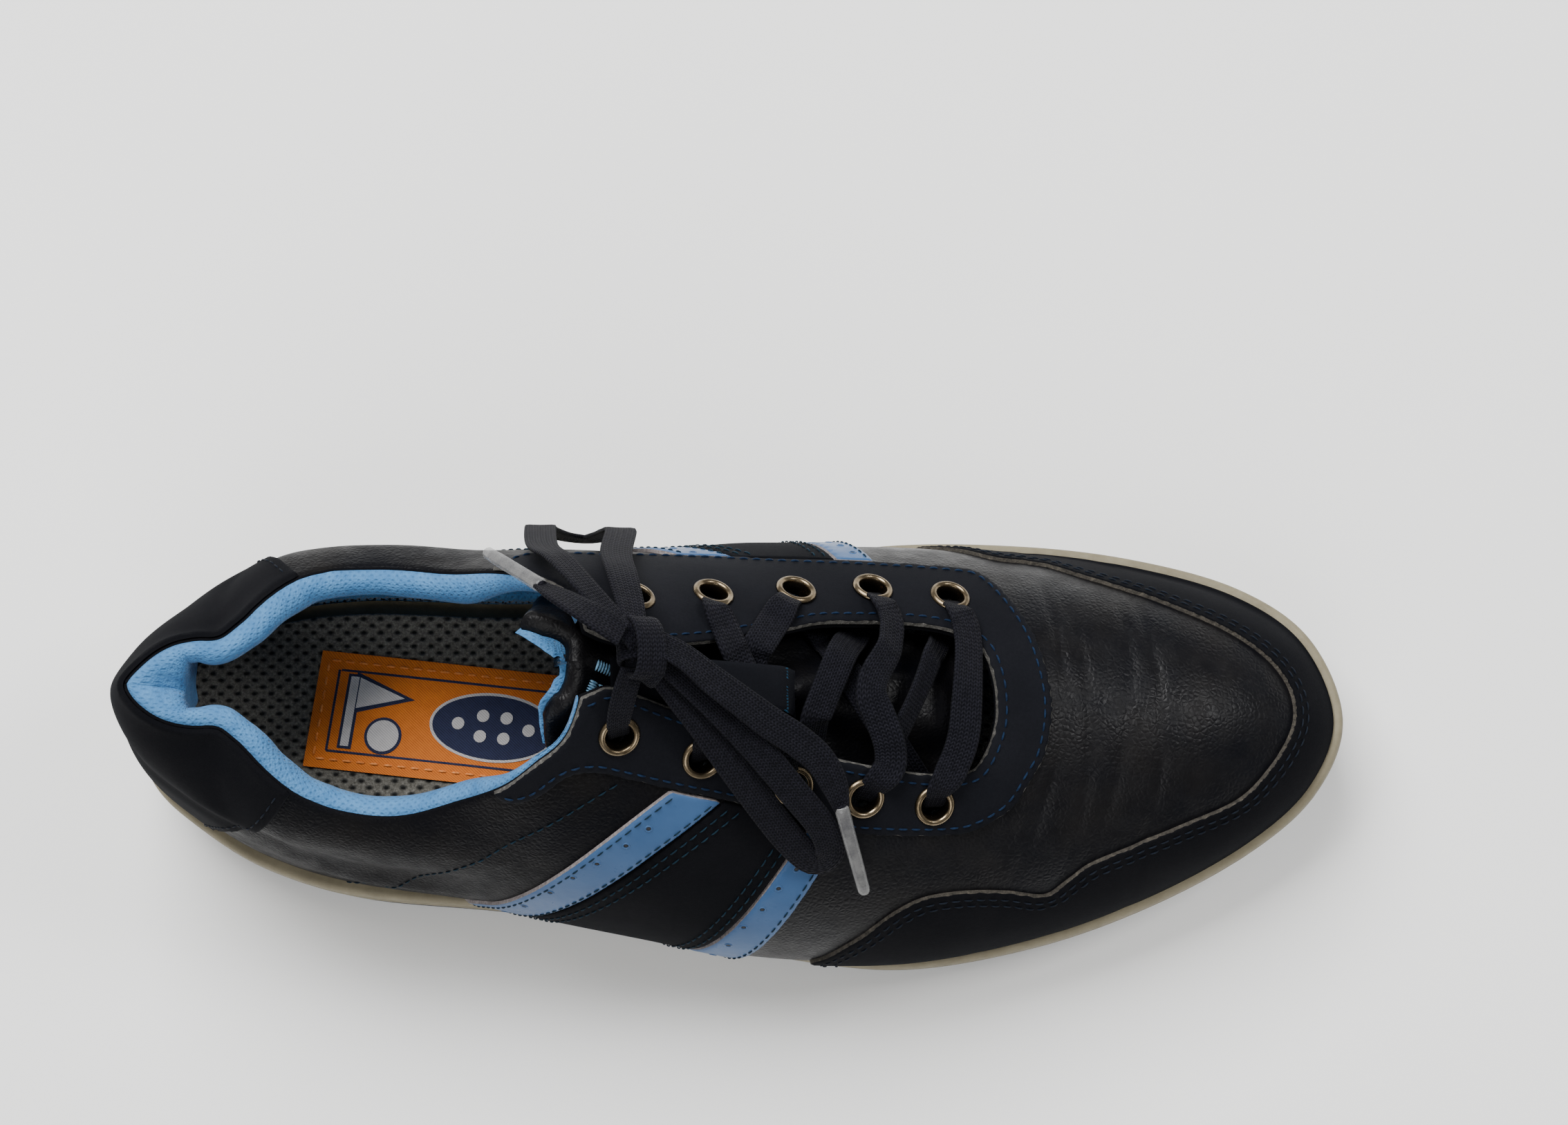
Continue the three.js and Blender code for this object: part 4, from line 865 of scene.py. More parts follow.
def make_materials():
    dark, light = (0.0018, 0.0020, 0.0034), (0.0056, 0.0050, 0.0050)
    made = {
        "leather": leather("tumbled_leather", dark, light, 0.38, 820, 0.3, 0.13),
        "quarter": leather("quarter_leather", dark, light, 0.46, 760, 0.42, 0.045),
        "nubuck": suede("nubuck", (0.0016, 0.0018, 0.0028), (0.0046, 0.0046, 0.0058), 0.9, 0.5),
        "eyestay": suede("eyestay_nubuck", (0.0032, 0.0035, 0.0052), (0.0066, 0.0070, 0.0094), 0.78, 0.32),
        "inside": suede("leather_back", (0.05, 0.045, 0.04), (0.12, 0.11, 0.10), 0.95, 0.5),
        "raw_edge": worn("raw_edge", 900, (0.018, 0.017, 0.015), (0.075, 0.072, 0.066), (0.20, 0.19, 0.175)),
        "worn_edge": worn("worn_edge", 700, (0.012, 0.011, 0.010), (0.045, 0.040, 0.033), (0.12, 0.105, 0.08)),
        "stripe": plain(
            "patent_stripe", (70, 4), ((0.3, (0.033, 0.078, 0.175)), (0.75, (0.046, 0.101, 0.212))),
            (220, 3, 0.26, 0.38), (((160, 3), 0.25, 0.0005), (1300, 0.12, 0.0001)),
            Specular_IOR_Level=0.1, Coat_Weight=0.03, Coat_Roughness=0.2),
        "stripe_edge": plain(
            "stripe_edge", (1200, 5), ((0.3, (0.12, 0.10, 0.10)), (0.7, (0.27, 0.24, 0.235))),
            bumps=(((2500, 4), 0.7, 0.0003),), Roughness=0.9),
        "midsole": plain(
            "midsole_foam", (140, 6, 0.7), ((0.3, (0.145, 0.125, 0.078)), (0.7, (0.205, 0.18, 0.118))),
            (600, 4, 0.55, 0.72), (((70, 3), 0.12, 0.0006), ((2400, 4), 0.35, 0.00015)),
            Specular_IOR_Level=0.35),
        "outsole": plain(
            "outsole_rubber", (200, 5), ((0.3, (0.006, 0.0065, 0.009)), (0.75, (0.014, 0.0145, 0.018))),
            (500, 4, 0.55, 0.75), (((1800, 3), 0.3, 0.0002),), Specular_IOR_Level=0.4),
        "aglet": plain(
            "clear_tip", (300, 3), ((0.3, (0.16, 0.16, 0.165)), (0.7, (0.30, 0.30, 0.295))),
            bumps=(((120, 2), 0.08, 0.0003),), Roughness=0.18, Alpha=0.45),
        "steel": plain(
            "shank_steel", (300, 4), ((0.3, (0.36, 0.38, 0.40)), (0.7, (0.52, 0.54, 0.57))),
            (700, 3, 0.3, 0.45), Metallic=1.0),
        "floor": plain(
            "studio_floor", (3, 2), ((0.3, (0.86, 0.86, 0.85)), (0.7, (0.90, 0.90, 0.89))), Roughness=0.85),
    }
    for name, dark, light in (
        ("navy", (0.0025, 0.007, 0.020), (0.006, 0.019, 0.048)),
        ("teal", (0.002, 0.009, 0.017), (0.006, 0.023, 0.038)),
        ("dark", (0.003, 0.0045, 0.008), (0.007, 0.011, 0.019)),
        ("blue", (0.07, 0.19, 0.33), (0.24, 0.44, 0.60)),
        ("keeper", (0.004, 0.022, 0.045), (0.012, 0.055, 0.10)),
        ("orange", (0.70, 0.18, 0.03), (0.95, 0.38, 0.12)),
    ):
        made[f"thread_{name}"] = thread(f"thread_{name}", dark, light)
    for name, dark, light, scale in (
        ("foam", (0.62, 0.55, 0.36), (0.80, 0.74, 0.52), 900),
        ("board", (0.36, 0.27, 0.16), (0.50, 0.39, 0.24), 700),
        ("stiffener", (0.50, 0.46, 0.38), (0.64, 0.60, 0.50), 500),
    ):
        made[name] = plain(name, (scale, 5), ((0.3, dark), (0.7, light)), bumps=((scale, 0.4, 0.0003),),
                           Roughness=0.9)

    m = Shader("lining_mesh", Specular_IOR_Level=0.2, Sheen_Weight=0.12, Sheen_Roughness=0.4)
    holes = m.hole_grid(2.0, 1.15, 0.13, m.uv(), 0.1)
    knit = m.cells(1700, "F1")
    base = m.ramp(m.noise(260, 4), (0.3, (0.040, 0.140, 0.305)), (0.75, (0.074, 0.212, 0.415)))
    # The holes are painted halfway to a darker navy: painted shade down in the mesh's holes.
    m.colour(m.blend(m.math("MULTIPLY", holes, 0.5), base, (0.03, 0.10, 0.23)))
    m.rough(m.span(knit, 0.0, 0.6, 0.95, 0.75))
    sunk = m.math("SUBTRACT", knit, m.math("MULTIPLY", holes, 1.4))
    m.relief((m.noise(120, 3), 0.3, 0.0008), (sunk, 0.6, 0.0003))
    made["lining"] = m.material

    m = Shader("footbed_mesh", Specular_IOR_Level=0.2, Sheen_Weight=0.15)
    scaled = m.node("ShaderNodeVectorMath", {"operation": "SCALE"}, Vector=m.coordinate(), Scale=1000)
    holes = m.hole_grid(4.1, 1.66, 0.19, scaled.outputs["Vector"], 0.09, 1.55)
    loops = m.noise(1500, 4, roughness=0.8)
    base = m.ramp(loops, (0.3, (0.055, 0.051, 0.042)), (0.5, (0.135, 0.127, 0.107)), (0.72, (0.25, 0.24, 0.21)))
    # The holes are painted near-black: painted shade down in the mesh's holes.
    m.colour(m.blend(holes, base, (0.007, 0.007, 0.006)))
    m.rough(m.span(loops, 0.3, 0.7, 0.98, 0.85))
    m.relief((m.math("SUBTRACT", m.math("MULTIPLY", loops, 0.7), holes), 0.9, 0.0006))
    made["footbed"] = m.material

    for name, dark, light in (
        ("label", (0.50, 0.115, 0.012), (0.72, 0.195, 0.022)),
        ("label_ink", (0.010, 0.012, 0.035), (0.022, 0.028, 0.075)),
        ("label_white", (0.42, 0.40, 0.39), (0.60, 0.57, 0.56)),
    ):
        m = Shader(name, Roughness=0.75, Specular_IOR_Level=0.25, Sheen_Weight=0.2)
        weave = m.node("ShaderNodeTexWave", {"wave_type": "BANDS", "bands_direction": "DIAGONAL"},
                       Vector=m.coordinate(), Scale=900.0, Distortion=1.2).outputs["Fac"]
        tone = m.math("ADD", m.math("MULTIPLY", weave, 0.5), m.math("MULTIPLY", m.noise(500, 4), 0.5))
        m.colour(m.ramp(tone, (0.25, dark), (0.65, light)))
        m.relief((weave, 0.4, 0.0002))
        made[name] = m.material

    m = Shader("antique_brass", Metallic=1.0)
    tarnish = m.noise(330, 5)
    m.colour(m.ramp(tarnish, (0.3, (0.07, 0.052, 0.030)), (0.6, (0.20, 0.155, 0.098)), (0.8, (0.38, 0.32, 0.225))))
    m.rough(m.span(tarnish, 0.3, 0.7, 0.36, 0.2))
    m.relief((m.noise(900, 3), 0.08, 0.0002))
    made["brass"] = m.material

    m = Shader("woven_lace", Specular_IOR_Level=0.1, Sheen_Weight=0.015, Sheen_Roughness=0.35)
    split = m.node("ShaderNodeSeparateXYZ", Vector=m.uv())
    zigzag = m.math("PINGPONG", split.outputs[1], 0.62)
    along = m.math("ADD", m.math("MULTIPLY", split.outputs[0], 1.05), m.math("MULTIPLY", zigzag, 0.9))
    strand = m.math("PINGPONG", along, 0.5)
    rib = m.math("PINGPONG", split.outputs[1], 0.31)
    weave = m.math("ADD", m.math("MULTIPLY", strand, 1.1), m.math("MULTIPLY", rib, 1.3))
    m.colour(m.ramp(m.math("MULTIPLY", weave, m.noise(700, 3)), (0.08, (0.0012, 0.0013, 0.0028)),
                    (0.55, (0.0095, 0.0093, 0.0145))))
    m.rough(m.span(weave, 0.0, 0.9, 0.92, 0.68))
    m.relief((weave, 0.85, 0.00042), (m.noise(4200, 2), 0.3, 0.0001))
    made["lace"] = m.material
    return made


MATERIAL = make_materials()

# ---------------------------------------------------------------- camera, light and floor


def studio():
    camera = bpy.data.cameras.new("camera")
    camera.lens = CAMERA_LENS
    camera.sensor_width = 36
    camera.clip_start, camera.clip_end = 0.05, 20
    holder = bpy.data.objects.new("camera", camera)
    bpy.context.scene.collection.objects.link(holder)
    eye, target = Vector(CAMERA_AT) / 1000, Vector(CAMERA_TARGET) / 1000
    ahead = (target - eye).normalized()
    right = ahead.cross(Vector((0, 1, 0))).normalized()
    up = right.cross(ahead)
    holder.matrix_world = Matrix((
        (right.x, up.x, -ahead.x, eye.x), (right.y, up.y, -ahead.y, eye.y),
        (right.z, up.z, -ahead.z, eye.z), (0, 0, 0, 1)))
    bpy.context.scene.camera = holder

    world = bpy.data.worlds.new("studio")
    world.use_nodes = True
    sky = world.node_tree.nodes["Background"].inputs
    sky["Color"].default_value, sky["Strength"].default_value = (1, 1, 1, 1), 0.36
    bpy.context.scene.world = world
    for name, at_, size, power in (
        ("key", (-0.45, 0.9, 1.5), 1.1, 60), ("fill", (-0.2, -1.2, 1.3), 1.2, 14),
        ("toe", (0.95, 0.3, 1.15), 0.4, 9),
    ):
        lamp = bpy.data.lights.new(name, "AREA")
        lamp.energy, lamp.size = power, size
        lamp_obj = bpy.data.objects.new(name, lamp)
        lamp_obj.location = at_
        lamp_obj.rotation_euler = (Vector((0, 0, 0.03)) - Vector(at_)).to_track_quat("-Z", "Y").to_euler()
        bpy.context.scene.collection.objects.link(lamp_obj)

    mesh = bpy.data.meshes.new("floor")
    mesh.from_pydata([(-3, -3, 0), (3, -3, 0), (3, 3, 0), (-3, 3, 0)], [], [(0, 1, 2, 3)])
    mesh.materials.append(MATERIAL["floor"])
    floor = bpy.data.objects.new("floor", mesh)
    bpy.context.scene.collection.objects.link(floor)


studio()

# ---------------------------------------------------------------- laces


def ribbon(points, normals, widths, twist=None, thickness=LACE_THICKNESS):
    """A flat lace: rings of a flattened section along a path, with uv in millimetres."""
    along = unit(np.gradient(points, axis=0))
    across = unit(np.cross(along, normals))
    up = np.cross(across, along)
    if twist is not None:
        angle = np.radians(twist)[:, None]
        across, up = across * np.cos(angle) + up * np.sin(angle), up * np.cos(angle) - across * np.sin(angle)
    share = np.array([1, 0.94, 0.7, 0.35, 0, -0.35, -0.7, -0.94, -1, -0.94, -0.7, -0.35, 0, 0.35, 0.7, 0.94])
    rise = np.array([0, 0.8, 1, 0.9, 0.84, 0.9, 1, 0.8, 0, -0.8, -1, -0.9, -0.84, -0.9, -1, -0.8])
    half = np.reshape(widths, (-1, 1, 1)) / 2
    rings = (points[:, None] + across[:, None] * share[None, :, None] * half
             + up[:, None] * rise[None, :, None] * thickness / 2)
    run = run_along(points)
    across_mm = np.cumsum(np.abs(np.diff(np.concatenate([[1], share])))) * LACE_WIDTH / 2
    uv = np.stack(np.broadcast_arrays(run[:, None], across_mm[None]), -1).reshape(-1, 2)
    vertices, quads, triangles = lofted(rings)
    uv = np.concatenate([uv, uv[:1], uv[-1:]])
    return vertices, quads, triangles, uv


def lace_object(name, points, normals, widths, twist, body="shoe"):
    vertices, quads, triangles, uv = ribbon(points, normals, widths, twist)
    return make_object(name, vertices, [quads, triangles], [MATERIAL["lace"]], uv=uv, body=body)


def plan_stops(stops):
    """Stops as x, y, height above the leather, roll in degrees and width share."""
    return [[*np.concatenate(over(x, y, d)), roll, width] for x, y, d, roll, width in stops]


def lace_path(table, count):
    """Points, normals, widths and rolls of a lace through its stops."""
    path = through(table, count)
    return path[:, :3], path[:, 3:6], path[:, 7] * LACE_WIDTH, path[:, 6]


def wall_stops(stops):
    """Stops down the inner side wall, as x, s, height, roll and width share."""
    table = []
    for x, s, d, roll, width in stops:
        row = s * (LEVELS - 1)
        r, c = np.array([row]), np.array([column_at(x, row, "medial")])
        normal = at(NORMAL, r, c)[0]
        table.append([*(at(POINT, r, c)[0] + normal * d), *normal, roll, width])
    return table


def plan_inset(outline_, x, y):
    """How far a point lies inside an outline drawn in plan."""
    ring = np.array(outline_, float)
    nearest, inside = np.inf, False
    for p, q in zip(ring, np.roll(ring, -1, 0)):
        d = q - p
        t = min(max(((x - p[0]) * d[0] + (y - p[1]) * d[1]) / (d @ d), 0), 1)
        nearest = min(nearest, math.hypot(p[0] + t * d[0] - x, p[1] + t * d[1] - y))
        if (p[1] > y) != (q[1] > y) and x < p[0] + d[0] * (y - p[1]) / d[1]:
            inside = not inside
    return nearest if inside else -nearest


# Heights of the laces above the base leather: beneath the facings, on the tongue and over the facings.
LEVEL_HEIGHT = {"under": (-7.3, -5.9), "tongue": -1.8, "layer": 2.8, "facing": 1.95, "flange": 2.9}
STRAND_STOPS = 17


def over_strand(start, end, level, sway=((0, 0), (1, 0)), roll=0.0):
    """A run over the facings between two eyelets. sway lists how far it strays towards the toe."""
    strays = through(sway, 60)
    middle = LEVEL_HEIGHT["tongue"] + LEVEL_HEIGHT["layer"] * level
    facing = LEVEL_HEIGHT["facing"] + 0.5 * level
    flange = LEVEL_HEIGHT["flange"] + 0.3 * level
    stops = []
    for f in (k / (STRAND_STOPS - 1) for k in range(STRAND_STOPS)):
        x = start[0] + (end[0] - start[0]) * f + float(np.interp(f, strays[:, 0], strays[:, 1]))
        y = start[1] + (end[1] - start[1]) * f
        toward = min(math.hypot(x - start[0], y - start[1]), math.hypot(x - end[0], y - end[1]))
        rest = facing + (flange - facing) * smooth((8.5 - toward) / 3)
        d = rest + (middle - rest) * smooth((plan_inset(THROAT, x, y) - 2.5) / 4)
        d -= 5.5 * smooth((2.6 - toward) / 2.6)
        stops.append((x, y, d, roll * math.sin(2 * math.pi * f), 0.74 + 0.26 * smooth((toward - 1) / 6)))
    return stops


def under_strand(start, end, level, bow=0.0, width=1.0, roll=0.0):
    """A run under the facings from one eyelet to another, showing in the throat."""
    middle = LEVEL_HEIGHT["tongue"] + LEVEL_HEIGHT["layer"] * level
    low = LEVEL_HEIGHT["under"][level]
    stops = []
    for f in (k / (STRAND_STOPS - 1) for k in range(STRAND_STOPS)):
        x = start[0] + (end[0] - start[0]) * f + bow * math.sin(math.pi * f)
        y = start[1] + (end[1] - start[1]) * f
        rise = smooth((plan_inset(THROAT, x, y) - 3.8 + 1.8 * level) / (7 - 1.5 * level))
        stops.append((x, y, low + (middle - low) * rise, roll * math.sin(math.pi * f), width))
    return stops


BAR_SWAY = (
    [(0, 0), (0.1, 3.6), (0.25, 5.6), (0.5, 6.2), (0.7, 6.0), (0.86, 3.6), (1, 0)],
    [(0, 0), (0.09, 3.8), (0.2, 5.4), (0.32, 5.0), (0.44, 2.2), (0.54, 1.4), (0.65, 3.6), (0.75, 5.6),
     (0.86, 6.2), (0.94, 3.6), (1, 0)],
)
OUTER_LOOP = [
    (139, 6, 10, 0, 0.85), (145, -1, 8, 8, 0.95), (150, -7, 7.2, 12, 1), (156, -15, 6.6, 12, 1),
    (163, -24, 5.2, 10, 1), (169, -31, 4, 0, 1), (174, -35, 4, -10, 1), (177.5, -33, 5.2, 0, 0.95),
    (176, -28, 6.6, 8, 0.95), (170, -21, 8, 8, 0.95), (162, -12, 8.8, 5, 0.95), (154, -4, 9.6, 0, 0.95),
    (147, 2, 10.4, 0, 0.9), (141, 6.5, 10.8, 0, 0.8),
]
INNER_LOOP_START = [
    (136, 12, 10.5, 0, 0.8), (134.5, 19, 8.5, 0, 0.95), (132, 27, 7, 0, 1), (129.5, 34, 6, 0, 1),
]
INNER_LOOP_WALL = [
    (128, 0.36, 5.5, 0, 1), (126, 0.28, 5, 0, 1), (123, 0.2, 4.6, 0, 1), (118, 0.15, 4.4, 0, 1),
    (112, 0.17, 4.6, 0, 1), (109, 0.24, 5, 0, 1), (109.5, 0.32, 5.4, 0, 1),
]
INNER_LOOP_END = [
    (113, 35, 6.4, 0, 1), (118, 30, 7.2, 0, 0.95), (124, 23, 8, 0, 0.9), (130, 16, 9, 0, 0.85),
    (134, 11.5, 10, 0, 0.8),
]
OUTER_TAIL = [
    (141, 9, 13.4, 0, 0.8), (147, 6, 13.6, 14, 0.9), (153, 1.5, 13, 18, 1), (159, -2.5, 12, 14, 1),
    (165, -6.5, 11, 6, 1), (171, -10, 10.4, 0, 1), (176, -14, 10, 0, 0.95), (179, -19, 9.4, 0, 0.85),
    (180.5, -24, 8.8, 0, 0.5),
]
INNER_TAIL = [
    (134, 10, 13.4, 0, 0.9), (130, 12.5, 12.8, 0, 1), (125, 15.5, 11, 0, 1), (119.5, 19, 8.4, 0, 0.9),
    (115, 22, 6, 0, 0.5),
]
OUTER_RISE = [
    (131, -9, -1.2, 0, 0.7), (131.5, -7, 2.6, 0, 0.75), (132.5, -4, 4.6, 0, 0.8), (134, 0, 6.6, 0, 0.8),
    (135.5, 3.5, 8.5, 0, 0.75),
]
INNER_RISE = [
    (134, 22, -1.2, 0, 0.7), (134.2, 20, 2.8, 0, 0.8), (134.6, 17.5, 4.8, 0, 0.9),
    (135, 14.5, 6.4, 0, 0.9), (135.5, 11.8, 8, 0, 0.85),
]
KNOT_AT = (137, 8, 9.5)



def wrap_band(centre, axes, size, turn, sweep, width):
    """A band of lace round the knot's core: size is its reach sideways and up, sweep its arc in degrees."""
    angles = np.radians(np.linspace(*sweep, 36))[:, None]
    x_axis, y_axis, z_axis = axes
    c, s = math.cos(math.radians(turn)), math.sin(math.radians(turn))
    across, side = x_axis * c + y_axis * s, y_axis * c - x_axis * s
    out = side * np.cos(angles) * size[0] + z_axis * np.sin(angles) * size[1]
    lean = across * np.sin(angles * 0.5) * 1.2
    return ribbon(centre + out + lean, unit(out), np.full(len(out), width), thickness=1.2)


def knot():
    point, normal = over(*KNOT_AT)
    y_axis = unit(np.cross(normal, [1.0, 0, 0]))
    axes = x_axis, _, _ = np.cross(y_axis, normal), y_axis, normal
    bands = [
        wrap_band(point + x_axis * 0.2, axes, (6.6, 4.4), 4, (-50, 230), 7.2),
        wrap_band(point + x_axis * -3.2 - normal * 1.2 + y_axis * 1.5, axes, (4.6, 3.2), 38, (-40, 220), 5.6),
        wrap_band(point + x_axis * 2.6 - normal * 1.3 - y_axis * 3.2, axes, (3.4, 3.2), -28, (-40, 220), 5.4),
        wrap_band(point - normal * 1.4, axes, (4.2, 2.6), 92, (-60, 240), 7.0),
    ]
    points, *faces = merged([band[:3] for band in bands])
    piece = make_object("lace_bow_knot", points, faces, [MATERIAL["lace"]],
                        uv=np.concatenate([band[3] for band in bands]))
    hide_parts("lace_knot")


def aglet(name, start, along):
    """A clear moulded tip from start, with the lace's end inside it."""
    made = []
    for suffix, surface, section in (
        ("", "aglet", [(1.25, -1.0), (1.62, -0.6), (1.7, 0.4), (1.62, 8), (1.52, 18), (1.42, 22.2), (1.0, 23)]),
        ("_core", "lace", [(1.3, -1.4), (1.25, 6), (1.1, 15), (0.9, 21)]),
    ):
        points, *faces = lofted(rings_round(start, along, [0, 0, 1.0], section, 20, 0.82))
        piece = make_object(f"{name}{suffix}", points, faces, [MATERIAL[surface]],
                            uv=points[:, :2] if surface == "lace" else None)
        made.append(filed(piece, surface))
    return made


def declare(path):
    """Measures a lace run's length in metres; nothing further is done with it."""
    line = metres(path)
    length = float(np.linalg.norm(np.diff(line, axis=0), axis=1).sum())
    if length < 6 * LACE_WIDTH / 1000:
        return


def yields_with_tongue(piece):
    """Bakes the piece's placement into its mesh."""
    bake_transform(piece)


def make_laces():
    outer, inner = EYELETS["lateral"], EYELETS["medial"]
    strands = {
        "lace_bar_1": over_strand(inner[4], outer[4], 2, BAR_SWAY[0], roll=12),
        "lace_bar_2": over_strand(inner[3], outer[3], 2, BAR_SWAY[1], roll=26),
        "lace_cross_1": over_strand(inner[2], outer[1], 0),
        "lace_cross_2": over_strand(outer[2], inner[1], 1),
        "lace_under_1": under_strand(inner[4], outer[3], 1, bow=3.0, width=0.85, roll=35),
        "lace_under_2": under_strand(outer[4], inner[2], 0),
        "lace_under_3": under_strand(inner[3], outer[2], 1),
        "lace_under_4": under_strand(outer[1], outer[0], 1),
        "lace_under_5": under_strand(inner[1], inner[0], 1),
    }
    knot()
    for name, stops in strands.items():
        path = lace_path(plan_stops(stops), 60)
        crosses_keeper = name.startswith("lace_cross")
        piece = lace_object(name.replace("lace_", "lace_run_"), *path, body=None if crosses_keeper else "shoe")
        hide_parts(name)
        declare(path[0])
        if crosses_keeper:
            yields_with_tongue(piece)
    inner_loop = plan_stops(INNER_LOOP_START) + wall_stops(INNER_LOOP_WALL) + plan_stops(INNER_LOOP_END)
    for name, node, table, count in (
        ("lace_run_rise_outer", "lace_rise_outer", plan_stops(OUTER_RISE), 30),
        ("lace_run_rise_inner", "lace_rise_inner", plan_stops(INNER_RISE), 30),
        ("lace_bow_outer", "lace_loop_outer", plan_stops(OUTER_LOOP), 150),
        ("lace_bow_inner", "lace_loop_inner", inner_loop, 170),
    ):
        path = lace_path(table, count)
        piece = lace_object(name, *path)
        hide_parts(node)
        declare(path[0])

    ends = {
        "outer": (OUTER_TAIL, over(185, -41, 8)[0]),
        "inner": (INNER_TAIL, np.array([93, 38.5, 92.0])),
    }
    for side, (stops, toward) in ends.items():
        path = lace_path(plan_stops(stops), 60)
        along = unit(toward - path[0][-1])
        tip, filling = aglet(f"lace_tip_{side}", path[0][-1] + along * 0.35, along)
        piece = lace_object(f"lace_end_{side}", *path)
        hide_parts(f"lace_tail_{side}")
        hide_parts(f"aglet_{side}")
        declare(path[0])


make_laces()

# ---------------------------------------------------------------- upper


def make_upper():
    vamp_seam = SEAM_FIELDS["vamp"]
    holes = EYELET_FIELD
    edge = MATERIAL["raw_edge"]
    skins = [MATERIAL["leather"], MATERIAL["nubuck"], MATERIAL["inside"]]
    pieces = {}
    vamp = meeting(vamp_seam, OPEN_FIELD, holes)
    pieces["vamp"] = panel("vamp_leather", vamp, 0.0, LEATHER_INSIDE, skins)
    for side in SIDES:
        quarter = meeting(shifted(flipped(vamp_seam), -0.3), OPEN_FIELD, HEEL_SEAM[side], holes)
        pieces[f"quarter_{side}"] = panel(f"quarter_leather_{side}", quarter, 0.0, LEATHER_INSIDE,
                                          [MATERIAL["quarter"], *skins[1:]])
    eyestay = meeting(EYESTAY_FIELD, OPEN_FIELD, holes)
    pieces["eyestay"] = panel("eyestay_facing", eyestay, OVERLAY_TOP, OVERLAY_UNDER,
                              [MATERIAL["eyestay"], edge], chamfer=0.3, rough_edge=0.8)
    pieces["toe_mudguard"] = panel("mudguard_nubuck", MUDGUARD_FIELD, OVERLAY_TOP, OVERLAY_UNDER,
                                   [MATERIAL["nubuck"], MATERIAL["worn_edge"]], chamfer=0.3, rough_edge=0.8)
    heel = meeting(HEEL_FIELD, TOPLINE_FIELD)
    pieces["heel_overlay"] = panel("heel_nubuck", heel, OVERLAY_TOP, OVERLAY_UNDER, [MATERIAL["nubuck"], MATERIAL["nubuck"]])
    clear = meeting(shifted(flipped(EYESTAY_FIELD), -0.3), shifted(flipped(MUDGUARD_FIELD), -0.3), TOPLINE_FIELD)
    spans = {
        "stripe_rear": ("rear_back", "rear_front", "stripe", "stripe_edge"),
        "side_panel": ("rear_front", "front_back", "nubuck", "nubuck"),
        "stripe_front": ("front_back", "front_front", "stripe", "stripe_edge"),
    }
    for side, mask in SIDES.items():
        for name, (back, front, surface, wall) in spans.items():
            strip = meeting(shifted(SEAM_FIELDS[back], -0.15), shifted(flipped(SEAM_FIELDS[front]), -0.15), clear)
            strip = only(strip, mask)
            pieces[f"{name}_{side}"] = panel(
                f"{name}_{side}_skin", strip, OVERLAY_TOP if surface == "stripe" else OVERLAY_TOP - 0.1,
                OVERLAY_UNDER, [MATERIAL[surface], MATERIAL[wall]], chamfer=0.25, rough_edge=0.3)

    inside = meeting(shifted(flipped(THROAT_FIELD), -3.0), field(X - COLLAR_REACH), shifted(holes, -2.4))
    pieces["vamp_lining"] = panel("vamp_lining_mesh", inside, -2.95, -3.7, [MATERIAL["lining"]])
    puff = meeting(field(X - 250), shifted(flipped(THROAT_FIELD), 0))
    pieces["toe_puff"] = panel("toe_puff_sheet", puff, -1.75, -2.6, [MATERIAL["stiffener"]])
    cup = meeting(field(np.where(Z < 40, 78 - (Z - 15) * 0.32, 70 - (Z - 40) * 0.9) - X), field(60.0 - Z))
    pieces["heel_stiffener"] = panel("heel_stiffener_sheet", cup, -1.7, -2.2, [MATERIAL["stiffener"]])
    for node, piece in pieces.items():
        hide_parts(node)
        slot = {"eyestay": "eyestay", "toe_mudguard": "nubuck", "heel_overlay": "nubuck"}.get(node)
        for start, name in (("stripe", "stripe"), ("side_panel", "nubuck"), ("vamp_lining", "lining"),
                            ("toe_puff", "stiffener"), ("heel_stiffener", "stiffener")):
            slot = slot or (name if node.startswith(start) else None)
        slot or "leather"
    return {"vamp": vamp, "eyestay": eyestay, "clear": clear, "heel": heel}


REGIONS = make_upper()
# Away from the ridge and from the lines where the two sides' seams meet.
CLEAR_OF_MIDDLE = np.where((S < 0.985) & (np.abs(A - 0.5) > 0.006) & (A > 0.006) & (A < 0.994), 50.0, -50.0)


def collar_depth(x, z):
    padded = smooth((z - 40) / 30) * (1 - smooth((x - 92) / 25))
    return COLLAR_THICKNESS + COLLAR_PADDING * padded * (0.35 + 0.65 * smooth((x - 15) / 40))


def heel_filled(rings):
    """Fills the narrow space behind the heel notch, as the padding does, with a crease down its middle."""
    filled = rings.copy()
    begins = smooth((np.arange(len(rings)) - 2) / 4)[:, None]
    high = smooth((rings[..., 2] - 52) / 22)
    shift = np.maximum(0, HEEL_NOTCH - rings[..., 0]) * 0.82 * begins * high
    crease = np.exp(-(((rings[..., 1] - 5) / 2.2) ** 2))
    filled[..., 0] += shift
    filled[..., 2] -= shift * (0.32 + 0.42 * crease)
    return filled


